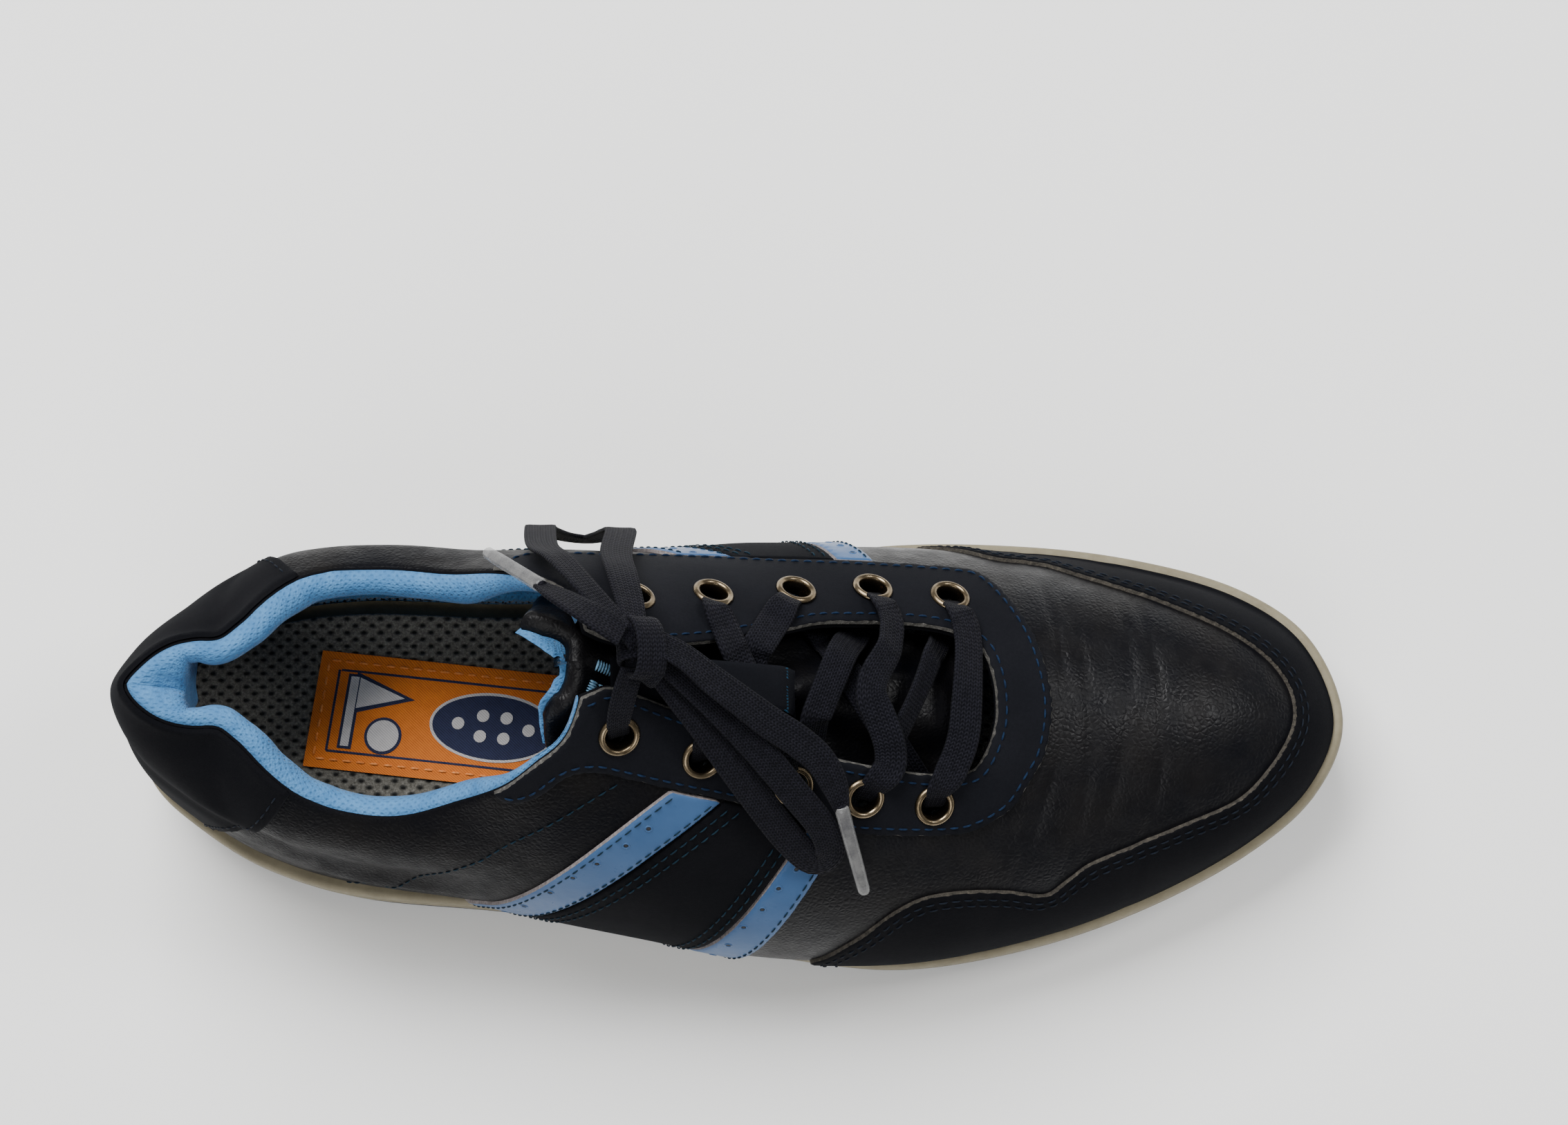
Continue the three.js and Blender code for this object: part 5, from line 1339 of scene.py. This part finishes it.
def make_collar():
    """The padded collar: it rolls over the top edge and runs down inside to the footbed."""
    rows = np.empty(AROUND)
    for i in range(AROUND):
        inside = np.flatnonzero(OPEN_FIELD[0][:, i] >= 0)
        j = inside[-1] if len(inside) else 0
        if j + 1 < LEVELS:
            v0, v1 = OPEN_FIELD[0][j, i], OPEN_FIELD[0][j + 1, i]
            j = j + v0 / (v0 - v1) if v1 < 0 else j
        rows[i] = j
    first = AROUND // 2
    reach = X[np.clip(rows.astype(int), 0, LEVELS - 1), np.arange(AROUND)] < COLLAR_ENDS
    reach[0:8] = True
    columns = [i for i in range(-first, first) if reach[i % AROUND] and abs(i) < first * 0.62]
    columns = np.array(columns)
    top = rows[columns % AROUND]
    c = columns.astype(float)
    edge_point, edge_normal = at(SURFACE, top, c), at(NORMAL, top, c)
    rise = at(SURFACE, np.maximum(top - 2, 0), c)
    rise = edge_point - rise
    rise /= np.linalg.norm(rise, axis=1, keepdims=True)
    depth = collar_depth(edge_point[:, 0], edge_point[:, 2])[:, None]
    tilt = smooth((edge_point[:, :1] - 96) / 22)
    rings = []
    narrow = np.minimum(1, depth / 8.5)
    rings.append(edge_point - edge_normal * 1.0 - rise * 2.6)
    rings.append(edge_point - edge_normal * 0.9 - rise * 0.2)
    rings.append(edge_point - edge_normal * (0.8 + 0.5 * narrow) + rise * 0.8 * (1 - 0.5 * tilt))
    rings.append(edge_point - edge_normal * (0.9 + 1.6 * narrow) + rise * 1.4 * (1 - 0.5 * tilt))
    for share, height in ((0.42, 1.6), (0.62, 1.0), (0.82, -0.3), (0.96, -2.4)):
        rings.append(edge_point - edge_normal * (share * depth) + rise * height * (1 - 0.6 * tilt))
    steps = 34
    for k in range(1, steps + 1):
        level = top * (1 - k / steps) - 0.0
        level = np.maximum(level - 4 * (1 - k / steps), 0.0)
        p, n = at(POINT, level, c), at(NORMAL, level, c)
        d = collar_depth(p[:, 0], p[:, 2])[:, None]
        blend = float(smooth(k / 5))
        ripple = 0.35 * np.sin(c / 5.3) * np.sin(k / 2.7 + c / 23)
        rings.append(p - n * (d + ripple[:, None] * (1 - k / steps)) * (0.96 + 0.04 * blend))
    wavy = 0.5 * np.sin(c / 3.1) * np.sin(c / 7.7)
    for k in range(4, 9):
        rings[k] = rings[k] + edge_normal * wavy[:, None] * 0.5
    inner = heel_filled(np.array(rings))
    m, n = inner.shape[:2]
    backing = []
    for k in range(m):
        shift = at(NORMAL, np.maximum(top - 1, 0), c) * 0.8
        backing.append(inner[k] + (shift if k > 7 else -rise * 0.7))
    outer = np.array(backing)
    grid = np.arange(m * n).reshape(m, n)
    front = np.stack([grid[:-1, :-1], grid[1:, :-1], grid[1:, 1:], grid[:-1, 1:]], -1).reshape(-1, 4)
    back = front[:, ::-1] + m * n
    rim = np.concatenate([grid[0], grid[1:, -1], grid[-1, -2::-1], grid[-2:0:-1, 0]])
    nxt = np.roll(rim, -1)
    walls = np.stack([rim, nxt, nxt + m * n, rim + m * n], -1)
    points = np.concatenate([inner.reshape(-1, 3), outer.reshape(-1, 3)])
    run = np.cumsum(np.concatenate([[0], np.linalg.norm(np.diff(edge_point, axis=0), axis=1)]))
    down = np.cumsum(np.concatenate([[0], np.linalg.norm(np.diff(inner, axis=0), axis=2).mean(1)]))
    uv = np.stack(np.broadcast_arrays(run[None], down[:, None]), -1).reshape(-1, 2)
    piece = make_object("collar_mesh", points, [front, back, walls], [MATERIAL["lining"]],
                        uv=np.concatenate([uv, uv]))
    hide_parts("collar_lining", "collar_foam")
    return piece


make_collar()


def make_seam_rows():
    navy, teal, dark = [], [], []
    top = OVERLAY_TOP + 0.1
    navy += [on_surface(line, top) for line in contour(EYESTAY_FIELD[0], 2.0, OPEN_FIELD[0], 1.5)]
    throat_edge = flipped(THROAT_FIELD)[0]
    navy += [on_surface(line, top) for line in contour(throat_edge, 2.3, np.minimum(EYESTAY_FIELD[0] - 1.4, OPEN_FIELD[0]), 1.0)]
    mudguard = MUDGUARD_FIELD[0]
    for level in (2.2, 4.2):
        dark += [on_surface(line, top) for line in contour(mudguard, level, S, 0.06)]
    dark += [on_surface(line, top) for line in contour(HEEL_FIELD[0], 2.4, TOPLINE_FIELD[0], 2.0)]
    clear = REGIONS["clear"][0]
    rows = {
        "rear_back": (1.7,), "rear_front": (-1.3, 2.2, 4.6), "front_back": (-4.6, -2.2),
        "front_front": (-1.6,),
    }
    for side, mask in SIDES.items():
        for name, levels in rows.items():
            for level in levels:
                limit = np.minimum(np.where(mask, clear, -9.0), CLEAR_OF_MIDDLE)
                teal += [on_surface(line, top) for line in contour(SEAM_FIELDS[name][0], level, limit, 1.0)]
    quarter_line = {
        "lateral": [(58, 0.01), (66, 0.055), (73, 0.10), (85, 0.20), (97, 0.29), (108, 0.39), (120, 0.5), (130.5, 0.60)],
        "medial": [(74, 0.02), (84, 0.10), (95, 0.20), (106, 0.30), (117, 0.41), (128, 0.52)],
    }
    for side, points in quarter_line.items():
        teal.append(drawn_on_surface(points, side, 0.12))
    made = {
        "stitching_navy": stitched("stitching_navy", navy, MATERIAL["thread_navy"]),
        "stitching_teal": stitched("stitching_teal", teal, MATERIAL["thread_teal"], radius=0.2),
        "stitching_dark": stitched("stitching_dark", dark, MATERIAL["thread_dark"], radius=0.2),
    }


make_seam_rows()

STRIPE_HOLES = {
    "lateral": [
        (136.4, 0.52), (131, 0.46), (124, 0.39), (118, 0.33), (112, 0.26), (104.6, 0.17), (98, 0.06),
        (169.3, 0.5), (165, 0.44), (161, 0.37), (156.4, 0.3), (152.4, 0.21), (148, 0.1),
    ],
    "medial": [
        (155, 0.53), (150, 0.46), (145, 0.39), (140, 0.32), (134, 0.24), (128, 0.15),
        (185, 0.46), (182, 0.38), (179, 0.3), (176, 0.22), (173, 0.13),
    ],
}


def make_stripe_holes():
    """Small punched holes with a raised rim and a dark floor: a disc that stands for the dark leather beneath and
    painted shade in the hole.
    """
    ring = np.array([(0.56, -0.2), (0.56, 0.02), (0.64, 0.12), (0.84, 0.16), (1.02, 0.0), (1.0, -0.2)])
    floor = np.array([(0.6, -0.15), (0.6, 0.02)])
    angles = np.arange(12) * np.pi / 6
    dark, rim = [], []
    for side, places in STRIPE_HOLES.items():
        for place in places:
            path, normals = drawn_on_surface([place, (place[0] + 0.01, place[1])], side, OVERLAY_TOP)
            if plan_inset(EYESTAY, path[0][0], path[0][1]) > -1.5:
                continue
            centre, normal = path[0], normals[0] / np.linalg.norm(normals[0])
            u = np.cross(normal, [0, 0, 1.0])
            u /= np.linalg.norm(u)
            v = np.cross(normal, u)
            circle = u[None] * np.cos(angles)[:, None] + v[None] * np.sin(angles)[:, None]
            rim.append(np.array([centre + circle * r + normal * h for r, h in ring]))
            dark.append(np.array([centre + circle * r + normal * h for r, h in floor]))
    rims = np.array(rim)
    count, m, n = rims.shape[:3]
    grid = np.arange(m * n).reshape(m, n)
    nxt = np.roll(grid, -1, 1)
    below, below_next = np.roll(grid, -1, 0), np.roll(nxt, -1, 0)
    quads = np.stack([grid, nxt, below_next, below], -1).reshape(-1, 4)
    faces = (quads[None] + np.arange(count)[:, None, None] * m * n).reshape(-1, 4)
    collars = make_object("stripe_hole_rims", rims.reshape(-1, 3), [faces], [MATERIAL["stripe"]])
    points, quads, triangles = [], [], []
    for k, rings in enumerate(dark):
        disc, four, three = lofted(rings)
        points.append(disc)
        quads.append(four + k * len(disc))
        triangles.append(three + k * len(disc))
    # Dark discs laid on the stripe: the dark leather seen through each hole, with painted shade inside it.
    pits = make_object("stripe_holes", np.concatenate(points), [np.concatenate(quads), np.concatenate(triangles)],
                       [MATERIAL["outsole"]])


make_stripe_holes()


def make_eyelets():
    section = np.array([
        (3.15, -3.4), (3.17, -0.2), (3.25, 0.45), (3.5, 0.8), (3.85, 0.98), (4.25, 0.93), (4.6, 0.65),
        (4.82, 0.3), (4.87, 0.02), (4.4, 0.0), (3.55, 0.0), (3.5, -3.4),
    ])
    angles = np.arange(48) * 2 * np.pi / 48
    for name, (point, normal) in EYELET_PLACES.items():
        u = np.cross(normal, [1.0, 0, 0])
        u /= np.linalg.norm(u)
        v = np.cross(normal, u)
        circle = u[None] * np.cos(angles)[:, None] + v[None] * np.sin(angles)[:, None]
        rings = np.array([point + circle * r + normal * (h + OVERLAY_TOP) for r, h in section])
        m, n = rings.shape[:2]
        grid = np.arange(m * n).reshape(m, n)
        nxt = np.roll(grid, -1, 1)
        below, below_next = np.roll(grid, -1, 0), np.roll(nxt, -1, 0)
        quads = np.stack([grid, nxt, below_next, below], -1).reshape(-1, 4)
        piece = make_object(f"{name}_ring", rings.reshape(-1, 3), [quads], [MATERIAL["brass"]])
        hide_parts(name)


make_eyelets()

# ---------------------------------------------------------------- tongue

TONGUE = {"base": 208, "top": 117, "half_base": 17, "half_top": 20, "edge": 8.8, "crown": 5.4}


def tongue_end(y):
    """Where the tongue's top edge lies along the shoe."""
    inner, outer = np.clip((y - 7.4) / 9.9, 0, 1), np.clip((7.4 - y) / 13.7, 0, 1)
    return 121.4 - 11.5 * inner**4 - 7.5 * outer**3


def lining_end(y):
    """Where the tongue's lining ends: it shows past the leather at the inner corner."""
    past = 121.2 - 1.3 * np.clip(y - 8.5, 0, 9.5)
    hidden = tongue_end(y) + 1.5 - 2.4 * smooth((3 - y) / 3)
    return np.minimum(hidden, past)


def tongue_height(x, y):
    lift = 5.0 * (1 - float(smooth((x - 117) / 18))) * (1 - float(smooth((abs(y - 7.4) - 10) / 6)))
    return TONGUE["crown"] * float(smooth((plan_inset(THROAT, x, y) - 5) / 8)) - TONGUE["edge"] + lift


def tongue_sheet(columns, rows, end, width=1.0):
    """Points of the tongue's upper face, from its top edge to its sewn base."""
    points = np.empty((columns, rows, 3))
    for j in range(rows):
        v = 2 * j / (rows - 1) - 1
        y_top = float(profile(RIDGE_SIDE, TONGUE["top"])) + TONGUE["half_top"] * v
        x_top = float(end(y_top))
        for i in range(columns):
            u = i / (columns - 1)
            x = x_top + (TONGUE["base"] - x_top) * u
            half = width * (TONGUE["half_top"] + (TONGUE["half_base"] - TONGUE["half_top"]) * u)
            y = float(profile(RIDGE_SIDE, x)) + half * v
            d = tongue_height(x, y) + 0.4 * math.sin(x / 9.0 + y / 15) * math.sin(y / 6.1)
            points[i, j] = over(x, y, d)[0]
    return points


def rolled_over(points, radius, tuck):
    """Carries a sheet round its first edge and back underneath."""
    normal = grid_normals(points)[0]
    back = points[0] - points[1]
    back /= np.linalg.norm(back, axis=1, keepdims=True)
    centre = points[0] - normal * radius
    rows = [centre - normal * radius - back * t for t in (tuck, tuck * 0.5, 1.0)]
    for angle in np.radians(np.linspace(175, 15, 11)):
        rows.append(centre + normal * radius * math.cos(angle) + back * radius * math.sin(angle))
    return np.concatenate([np.array(rows), points])


def grid_normals(points):
    n = np.cross(np.gradient(points, axis=0), np.gradient(points, axis=1))
    return n / np.linalg.norm(n, axis=-1, keepdims=True)


def padded_slab(name, points, normals, top, bottom, materials, body, rounding=1.6):
    """A closed sheet between two heights, its rim drawn in."""
    m, n = points.shape[:2]
    i = np.minimum(np.arange(m), np.arange(m)[::-1])[:, None]
    j = np.minimum(np.arange(n), np.arange(n)[::-1])[None]
    near = np.minimum(i, j) / rounding
    share = np.sqrt(1 - np.clip(1 - near, 0, 1) ** 2)[..., None]
    middle = (top + bottom) / 2
    upper = points + normals * (middle + (top - middle) * share)
    lower = points + normals * (middle + (bottom - middle) * share)
    grid = np.arange(m * n).reshape(m, n)
    front = np.stack([grid[:-1, :-1], grid[1:, :-1], grid[1:, 1:], grid[:-1, 1:]], -1).reshape(-1, 4)
    back = front[:, ::-1] + m * n
    rim = np.concatenate([grid[0], grid[1:, -1], grid[-1, -2::-1], grid[-2:0:-1, 0]])
    nxt = np.roll(rim, -1)
    walls = np.stack([rim, nxt, nxt + m * n, rim + m * n], -1)
    uv = np.stack(np.meshgrid(np.arange(m) * 1.4, np.arange(n) * 1.4, indexing="ij"), -1).reshape(-1, 2)
    return make_object(name, np.concatenate([upper.reshape(-1, 3), lower.reshape(-1, 3)]), [front, back, walls],
                       materials, uv=np.concatenate([uv, uv]), body=body)


ROLL = 3.0
KEEPER = {"rear": 129, "front": 169.5, "middle": 158.5, "hump": 2.9}


def keeper_sheet(columns, rows):
    points = np.empty((columns, rows, 3))
    for i in range(columns):
        u = i / (columns - 1)
        for j in range(rows):
            v = j / (rows - 1)
            x = KEEPER["rear"] + (KEEPER["front"] - KEEPER["rear"]) * u
            y = (4.5 - 2.0 * u) + (3.5 + 1.6 * u) * (2 * v - 1)
            flat = tongue_height(x, y) + 2 - float(smooth((x - KEEPER["rear"]) / 8))
            lift = float(smooth((12.4 - abs(x - KEEPER["middle"])) / 4))
            points[i, j] = over(x, y, flat + (KEEPER["hump"] - flat) * lift)[0]
    return points


def make_tongue():
    count = ((80, 40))
    face = tongue_sheet(*count, lambda y: tongue_end(y) + ROLL)
    sleeve = rolled_over(face, ROLL, 6.0)
    outer = padded_slab("tongue_leather", sleeve, grid_normals(sleeve), 0.0, -1.2, [MATERIAL["leather"]], "tongue")
    inner_face = tongue_sheet(*count, lambda y: tongue_end(y) + ROLL + 0.5, 0.93)
    foam = padded_slab("tongue_padding", inner_face, grid_normals(inner_face), -1.4, -4.6, [MATERIAL["foam"]],
                       "tongue", 3.0)
    back = tongue_sheet(*count, lining_end)
    lining = padded_slab("tongue_lining_mesh", back, grid_normals(back), -4.4, -6.0, [MATERIAL["lining"]],
                         "tongue", 2.0)
    for piece, node, slot in ((outer, "tongue_outer", "leather"), (foam, "tongue_foam", "foam"),
                              (lining, "tongue_lining", "lining")):
        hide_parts(node)
    strap = keeper_sheet(60, 16)
    strap_normals = grid_normals(strap)
    keeper = padded_slab("lace_keeper_strap", strap, strap_normals, 0.9, 0.0, [MATERIAL["eyestay"]], "tongue", 1.2)
    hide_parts("lace_keeper")
    lines = []
    t = np.linspace(0, 1, 8)[:, None]
    for j in range(1, strap.shape[1] - 1):
        for side in (-1, 1):
            start, end = strap[-5, j] - 0.2, strap[-3, min(max(j + side, 0), strap.shape[1] - 1)] - 0.2
            normal = strap_normals[-4, j]
            lines.append((start + (end - start) * t + normal * 1.05, np.tile(normal, (8, 1))))
    row = stitched("keeper_stitching", lines, MATERIAL["thread_keeper"], 2.6, 0.1, 0.26, "tongue")
    tacks = []
    for (x0, y0), (x1, y1), across in (((126.6, 6.2), (133.0, 4.2), True), ((124.6, 1.6), (131.4, -1.2), False)):
        along = np.array([x1 - x0, y1 - y0])
        side = np.array([-along[1], along[0]]) / np.linalg.norm(along)
        rows = 13 if across else 5
        for k in range(rows):
            f = k / (rows - 1)
            if across:
                start = np.array([x0, y0]) + along * f - side * 1.4
                end = start + side * 2.8
            else:
                start = np.array([x0, y0]) + side * (f - 0.5) * 2.4
                end = start + along
            t = np.linspace(0, 1, 8)[:, None]
            line = start + (end - start) * t
            d = np.array([tongue_height(px, py) for px, py in line]) + 0.45
            tacks.append(over(line[:, 0], line[:, 1], d))
    tack = stitched("tongue_bartacks", tacks, MATERIAL["thread_blue"], 2.6, 0.1, 0.3, "tongue")


make_tongue()

# ---------------------------------------------------------------- sole and footbed


def lid(start, n, step):
    """Faces straight across a ring of n points that starts at the heel's middle: down (1) or up (-1)."""
    half = n // 2
    i = np.arange(1, half - 1)
    across = np.stack([start + i, start + n - i, start + n - i - 1, start + i + 1], -1)
    tips = start + np.array([[0, n - 1, 1], [half - 1, half + 1, half]])
    return across[:, ::step], tips[:, ::step]


def sole_loft(name, section, material, node, body="shoe"):
    """Rings round the sole: section lists inset and height functions from bottom to top."""
    a = np.arange(AROUND) / AROUND
    rings = []
    for inset, height in section:
        p, _ = outline(a, inset)
        rings.append(np.concatenate([p, height(p[:, 0])[:, None]], 1))
    rings = np.array(rings)
    m, n = rings.shape[:2]
    grid = np.arange(m * n).reshape(m, n)
    nxt = np.roll(grid, -1, 1)
    quads = np.stack([grid[:-1], nxt[:-1], nxt[1:], grid[1:]], -1).reshape(-1, 4)
    piece = make_object(name, rings.reshape(-1, 3), [quads, *lid(0, n, 1), *lid((m - 1) * n, n, -1)], [material])
    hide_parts(node)
    return piece


def base_height(offset):
    return lambda x: ground(x) + offset


def below_top(offset):
    return lambda x: sole_top(x) - offset


def between(low, high, share):
    return lambda x: low(x) * (1 - share) + high(x) * share


def make_sole():
    low, high = base_height(6.3), below_top(0.0)
    section = [
        (2.2, base_height(6.3)), (1.7, base_height(6.35)), (1.25, base_height(6.8)), (0.75, base_height(9.0)),
        (0.4, between(low, high, 0.35)), (0.2, between(low, high, 0.55)), (0.05, below_top(5.6)),
        (0.0, below_top(5.0)), (0.35, below_top(4.75)), (0.4, below_top(4.5)), (0.05, below_top(4.2)),
        (0.0, below_top(3.4)), (0.05, below_top(2.0)), (0.3, below_top(0.9)), (0.8, below_top(0.25)),
        (1.3, below_top(0.02)), (1.8, high),
    ]
    sole_loft("midsole_body", section, MATERIAL["midsole"], "midsole")
    section = [
        (4.2, base_height(2.6)), (3.7, base_height(2.65)), (3.0, base_height(2.95)), (1.8, base_height(3.5)),
        (1.25, base_height(3.9)), (1.0, base_height(4.5)), (0.95, base_height(5.4)), (1.05, base_height(5.8)),
        (1.4, base_height(5.98)), (2.0, base_height(6.0)),
    ]
    base = sole_loft("outsole_base", section, MATERIAL["outsole"], "outsole")
    ring = outline(np.arange(160) / 160, 8)[0]
    pitch = 22
    points, quads, lids = [], [], []
    count = 0
    angles = np.arange(6) * np.pi / 3 + np.pi / 6
    profile_ = [(7.4, 3.3), (7.0, 2.6), (6.4, 0.9), (6.0, 0.25), (5.2, 0.0), (4.2, 0.05), (3.6, 0.7), (2.4, 1.0)]
    small = [(2.6, 3.3), (2.3, 2.3), (1.9, 1.5), (1.3, 1.3)]

    def stud(x, y, shape, sides):
        nonlocal count
        w = np.arange(sides) * 2 * np.pi / sides + np.pi / 6
        rings = np.array([[(x + r * math.cos(t), y + r * math.sin(t), float(ground(x)) + h) for t in w]
                          for r, h in shape])
        vertices, four, three = lofted(rings)
        points.append(vertices)
        quads.append(four[:, ::-1] + count)
        lids.append(three[:, ::-1] + count)
        count += len(vertices)

    def inside(x, y):
        hit = False
        for p, q in zip(ring, np.roll(ring, -1, 0)):
            if (p[1] > y) != (q[1] > y) and x < p[0] + (q[0] - p[0]) * (y - p[1]) / (q[1] - p[1]):
                hit = not hit
        return hit

    for row in range(13):
        x = 18 + row * pitch
        waist = 96 < x < 146
        for k in range(-4, 5):
            y = (k + (row % 2) / 2) * pitch
            if not waist and inside(x, y):
                stud(x, y, profile_, 6)
            if inside(x, y + pitch / 2):
                stud(x, y + pitch / 2, small, 8)
            if inside(x + pitch / 2, y + pitch / 4):
                stud(x + pitch / 2, y + pitch / 4, small, 8)
    lugs = make_object("outsole_lugs", np.concatenate(points), [np.concatenate(quads), np.concatenate(lids)],
                       [MATERIAL["outsole"]], flat=np.ones(sum(map(len, quads)) + sum(map(len, lids)), bool))


make_sole()

BOARD_TOP = 0.35 + 1.8
FOOTBED_TOP = BOARD_TOP + 0.35 + 4.2


def footbed_height(x):
    return sole_top(x) + FOOTBED_TOP


def make_footbed():
    a = np.arange(AROUND) / AROUND
    start, _ = outline(a, 0.0)
    edge, _ = outline(a, 8.6 + 5 * smooth((start[:, 0] - 245) / 45))
    spine = np.stack([np.clip(edge[:, 0], 34, 262), np.interp(edge[:, 0], [30, 150, 260], [5, 1, 1])], -1)
    shares = np.concatenate([np.linspace(0.06, 0.9, 12), [0.94, 0.97, 0.99, 1.0]])
    rings = []
    for share in shares:
        p = spine + (edge - spine) * share
        cup = 1.6 * share**6 - 0.9 * max(0, (share - 0.97) / 0.03) ** 2
        rings.append(np.concatenate([p, (footbed_height(p[:, 0]) - 0.6 + cup)[:, None]], 1))
    bottom = rings[-1].copy()
    bottom[:, 2] = sole_top(bottom[:, 0]) + BOARD_TOP + 0.4
    under = spine + (edge - spine) * shares[0]
    under = np.concatenate([under, (sole_top(under[:, 0]) + BOARD_TOP + 0.4)[:, None]], 1)
    rings = np.array(rings + [bottom, under])[::-1]
    points, quads, triangles = lofted(rings, closed_ends=False)
    lids = [*lid(0, AROUND, 1), *lid((len(rings) - 1) * AROUND, AROUND, -1)]
    piece = make_object("footbed_sock", points, [quads, *lids], [MATERIAL["footbed"]])
    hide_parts("footbed")


make_footbed()

LABEL = {"rear": 50, "front": 124, "half": 14.2, "centre": 7.7, "slope": -0.11, "skew": 0.15}


def label_points(u, v, lift):
    """A point of the patch: u along it in millimetres from the rear, v across it from its middle."""
    u, v = np.asarray(u, float), np.asarray(v, float)
    x = LABEL["rear"] + u + v * LABEL["skew"]
    y = LABEL["centre"] + LABEL["slope"] * u + v
    return np.stack([x, y, footbed_height(x) - 0.25 + lift], -1)


def label_shape(name, outline_, lift, material, thickness=0.12):
    """A flat motif on the patch, from its outline in the patch's own millimetres."""
    ring = np.array(outline_, float)
    top = label_points(ring[:, 0], ring[:, 1], lift + thickness)
    low = label_points(ring[:, 0], ring[:, 1], lift - 0.1)
    n = len(ring)
    order = np.arange(n)
    nxt = np.roll(order, -1)
    middles = [label_points(*ring.mean(0), height)[None] for height in (lift + thickness, lift - 0.1)]
    fan = np.stack([order, nxt, np.full(n, 2 * n)], -1)
    under = np.stack([nxt + n, order + n, np.full(n, 2 * n + 1)], -1)
    walls = np.stack([nxt, order, order + n, nxt + n], -1)
    piece = make_object(name, np.concatenate([top, low, *middles]), [fan, under, walls], [material],
                        flat=np.ones(3 * n, bool))
    return piece


def ellipse(cu, cv, ru, rv, count=48):
    w = np.arange(count) * 2 * np.pi / count
    return np.stack([cu + ru * np.cos(w), cv + rv * np.sin(w)], -1)


def make_label():
    columns, rows = 60, 22
    u = np.linspace(0, LABEL["front"] - LABEL["rear"], columns)
    v = np.linspace(-LABEL["half"], LABEL["half"], rows)
    uu, vv = np.meshgrid(u, v, indexing="ij")
    puff = 0.25 * np.sin(uu / 6.5) * np.sin(vv / 5.0)
    points = label_points(uu, vv, 0.35 + puff * 0.25)
    normals = grid_normals(points)
    piece = padded_slab("footbed_patch", points, normals, 0.35, -0.2, [MATERIAL["label"]], "shoe", 1.0)
    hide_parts("footbed_label")
    top = 0.78
    far, near, half = 74.0, 5.0, 9.9
    border = [
        ((near, half), (far, half)), ((near, -half), (far, -half)), ((near, -half), (near, half)),
    ]
    for k, ((u0, v0), (u1, v1)) in enumerate(border):
        du, dv = (0.0, 0.3) if v0 == v1 else (0.3, 0.0)
        t = np.linspace(0, 1, 40)[:, None]
        side = np.array([-1, -0.8, 0.8, 1])[None]
        strip = label_points(u0 + (u1 - u0) * t + du * side, v0 + (v1 - v0) * t + dv * side, top)
        line = padded_slab(f"patch_border_{k + 1}", strip, grid_normals(strip), 0.06, -0.2,
                           [MATERIAL["label_ink"]], "shoe", 1.0)
    seams = []
    for u0, v0, u1, v1 in ((2.2, 12.0, 75, 12.0), (2.2, -12.0, 75, -12.0), (2.2, -12.0, 2.2, 12.0)):
        t = np.linspace(0, 1, 60)
        path = label_points(u0 + (u1 - u0) * t, v0 + (v1 - v0) * t, top + 0.05)
        seams.append((path, np.tile([0.0, 0, 1], (60, 1))))
    row = stitched("patch_stitching", seams, MATERIAL["thread_orange"], 2.4, 0.9, 0.3)
    ink, white = MATERIAL["label_ink"], MATERIAL["label_white"]
    label_shape("patch_oval_rim", ellipse(44, -0.2, 15.4, 8.4), top - 0.05, white)
    label_shape("patch_oval", ellipse(44, -0.2, 14.7, 7.7), top + 0.12, ink)
    for k, (cu, cv) in enumerate(((35.5, 0), (41.2, 2.4), (41.2, -2.6), (46.9, 2.4), (46.9, -2.6), (52.6, 0))):
        label_shape(f"patch_dot_{k + 1}", ellipse(cu, cv, 1.5, 1.5, 20), top + 0.27, white)
    label_shape("patch_pole_rim", [(7.4, -9.0), (10.8, -9.0), (10.8, 9.2), (7.4, 9.2)], top - 0.05, ink)
    label_shape("patch_pole", [(8.1, -8.4), (10.1, -8.4), (10.1, 8.6), (8.1, 8.6)], top + 0.12, white)
    label_shape("patch_flag_rim", [(9.4, -0.4), (24.2, 4.4), (9.4, 9.8)], top - 0.05, ink)
    label_shape("patch_flag", [(10.4, 1.0), (21.8, 4.5), (10.4, 8.5)], top + 0.12, white)
    label_shape("patch_ball_rim", ellipse(18.0, -5.0, 4.5, 4.5, 32), top - 0.05, ink)
    label_shape("patch_ball", ellipse(18.0, -5.0, 3.8, 3.8, 32), top + 0.12, white)


make_label()

for node, surface in (("shank", "steel"), ("insole_board", "board")):
    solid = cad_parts[node]
    solid.data.materials.clear()
    solid.data.materials.append(MATERIAL[surface])
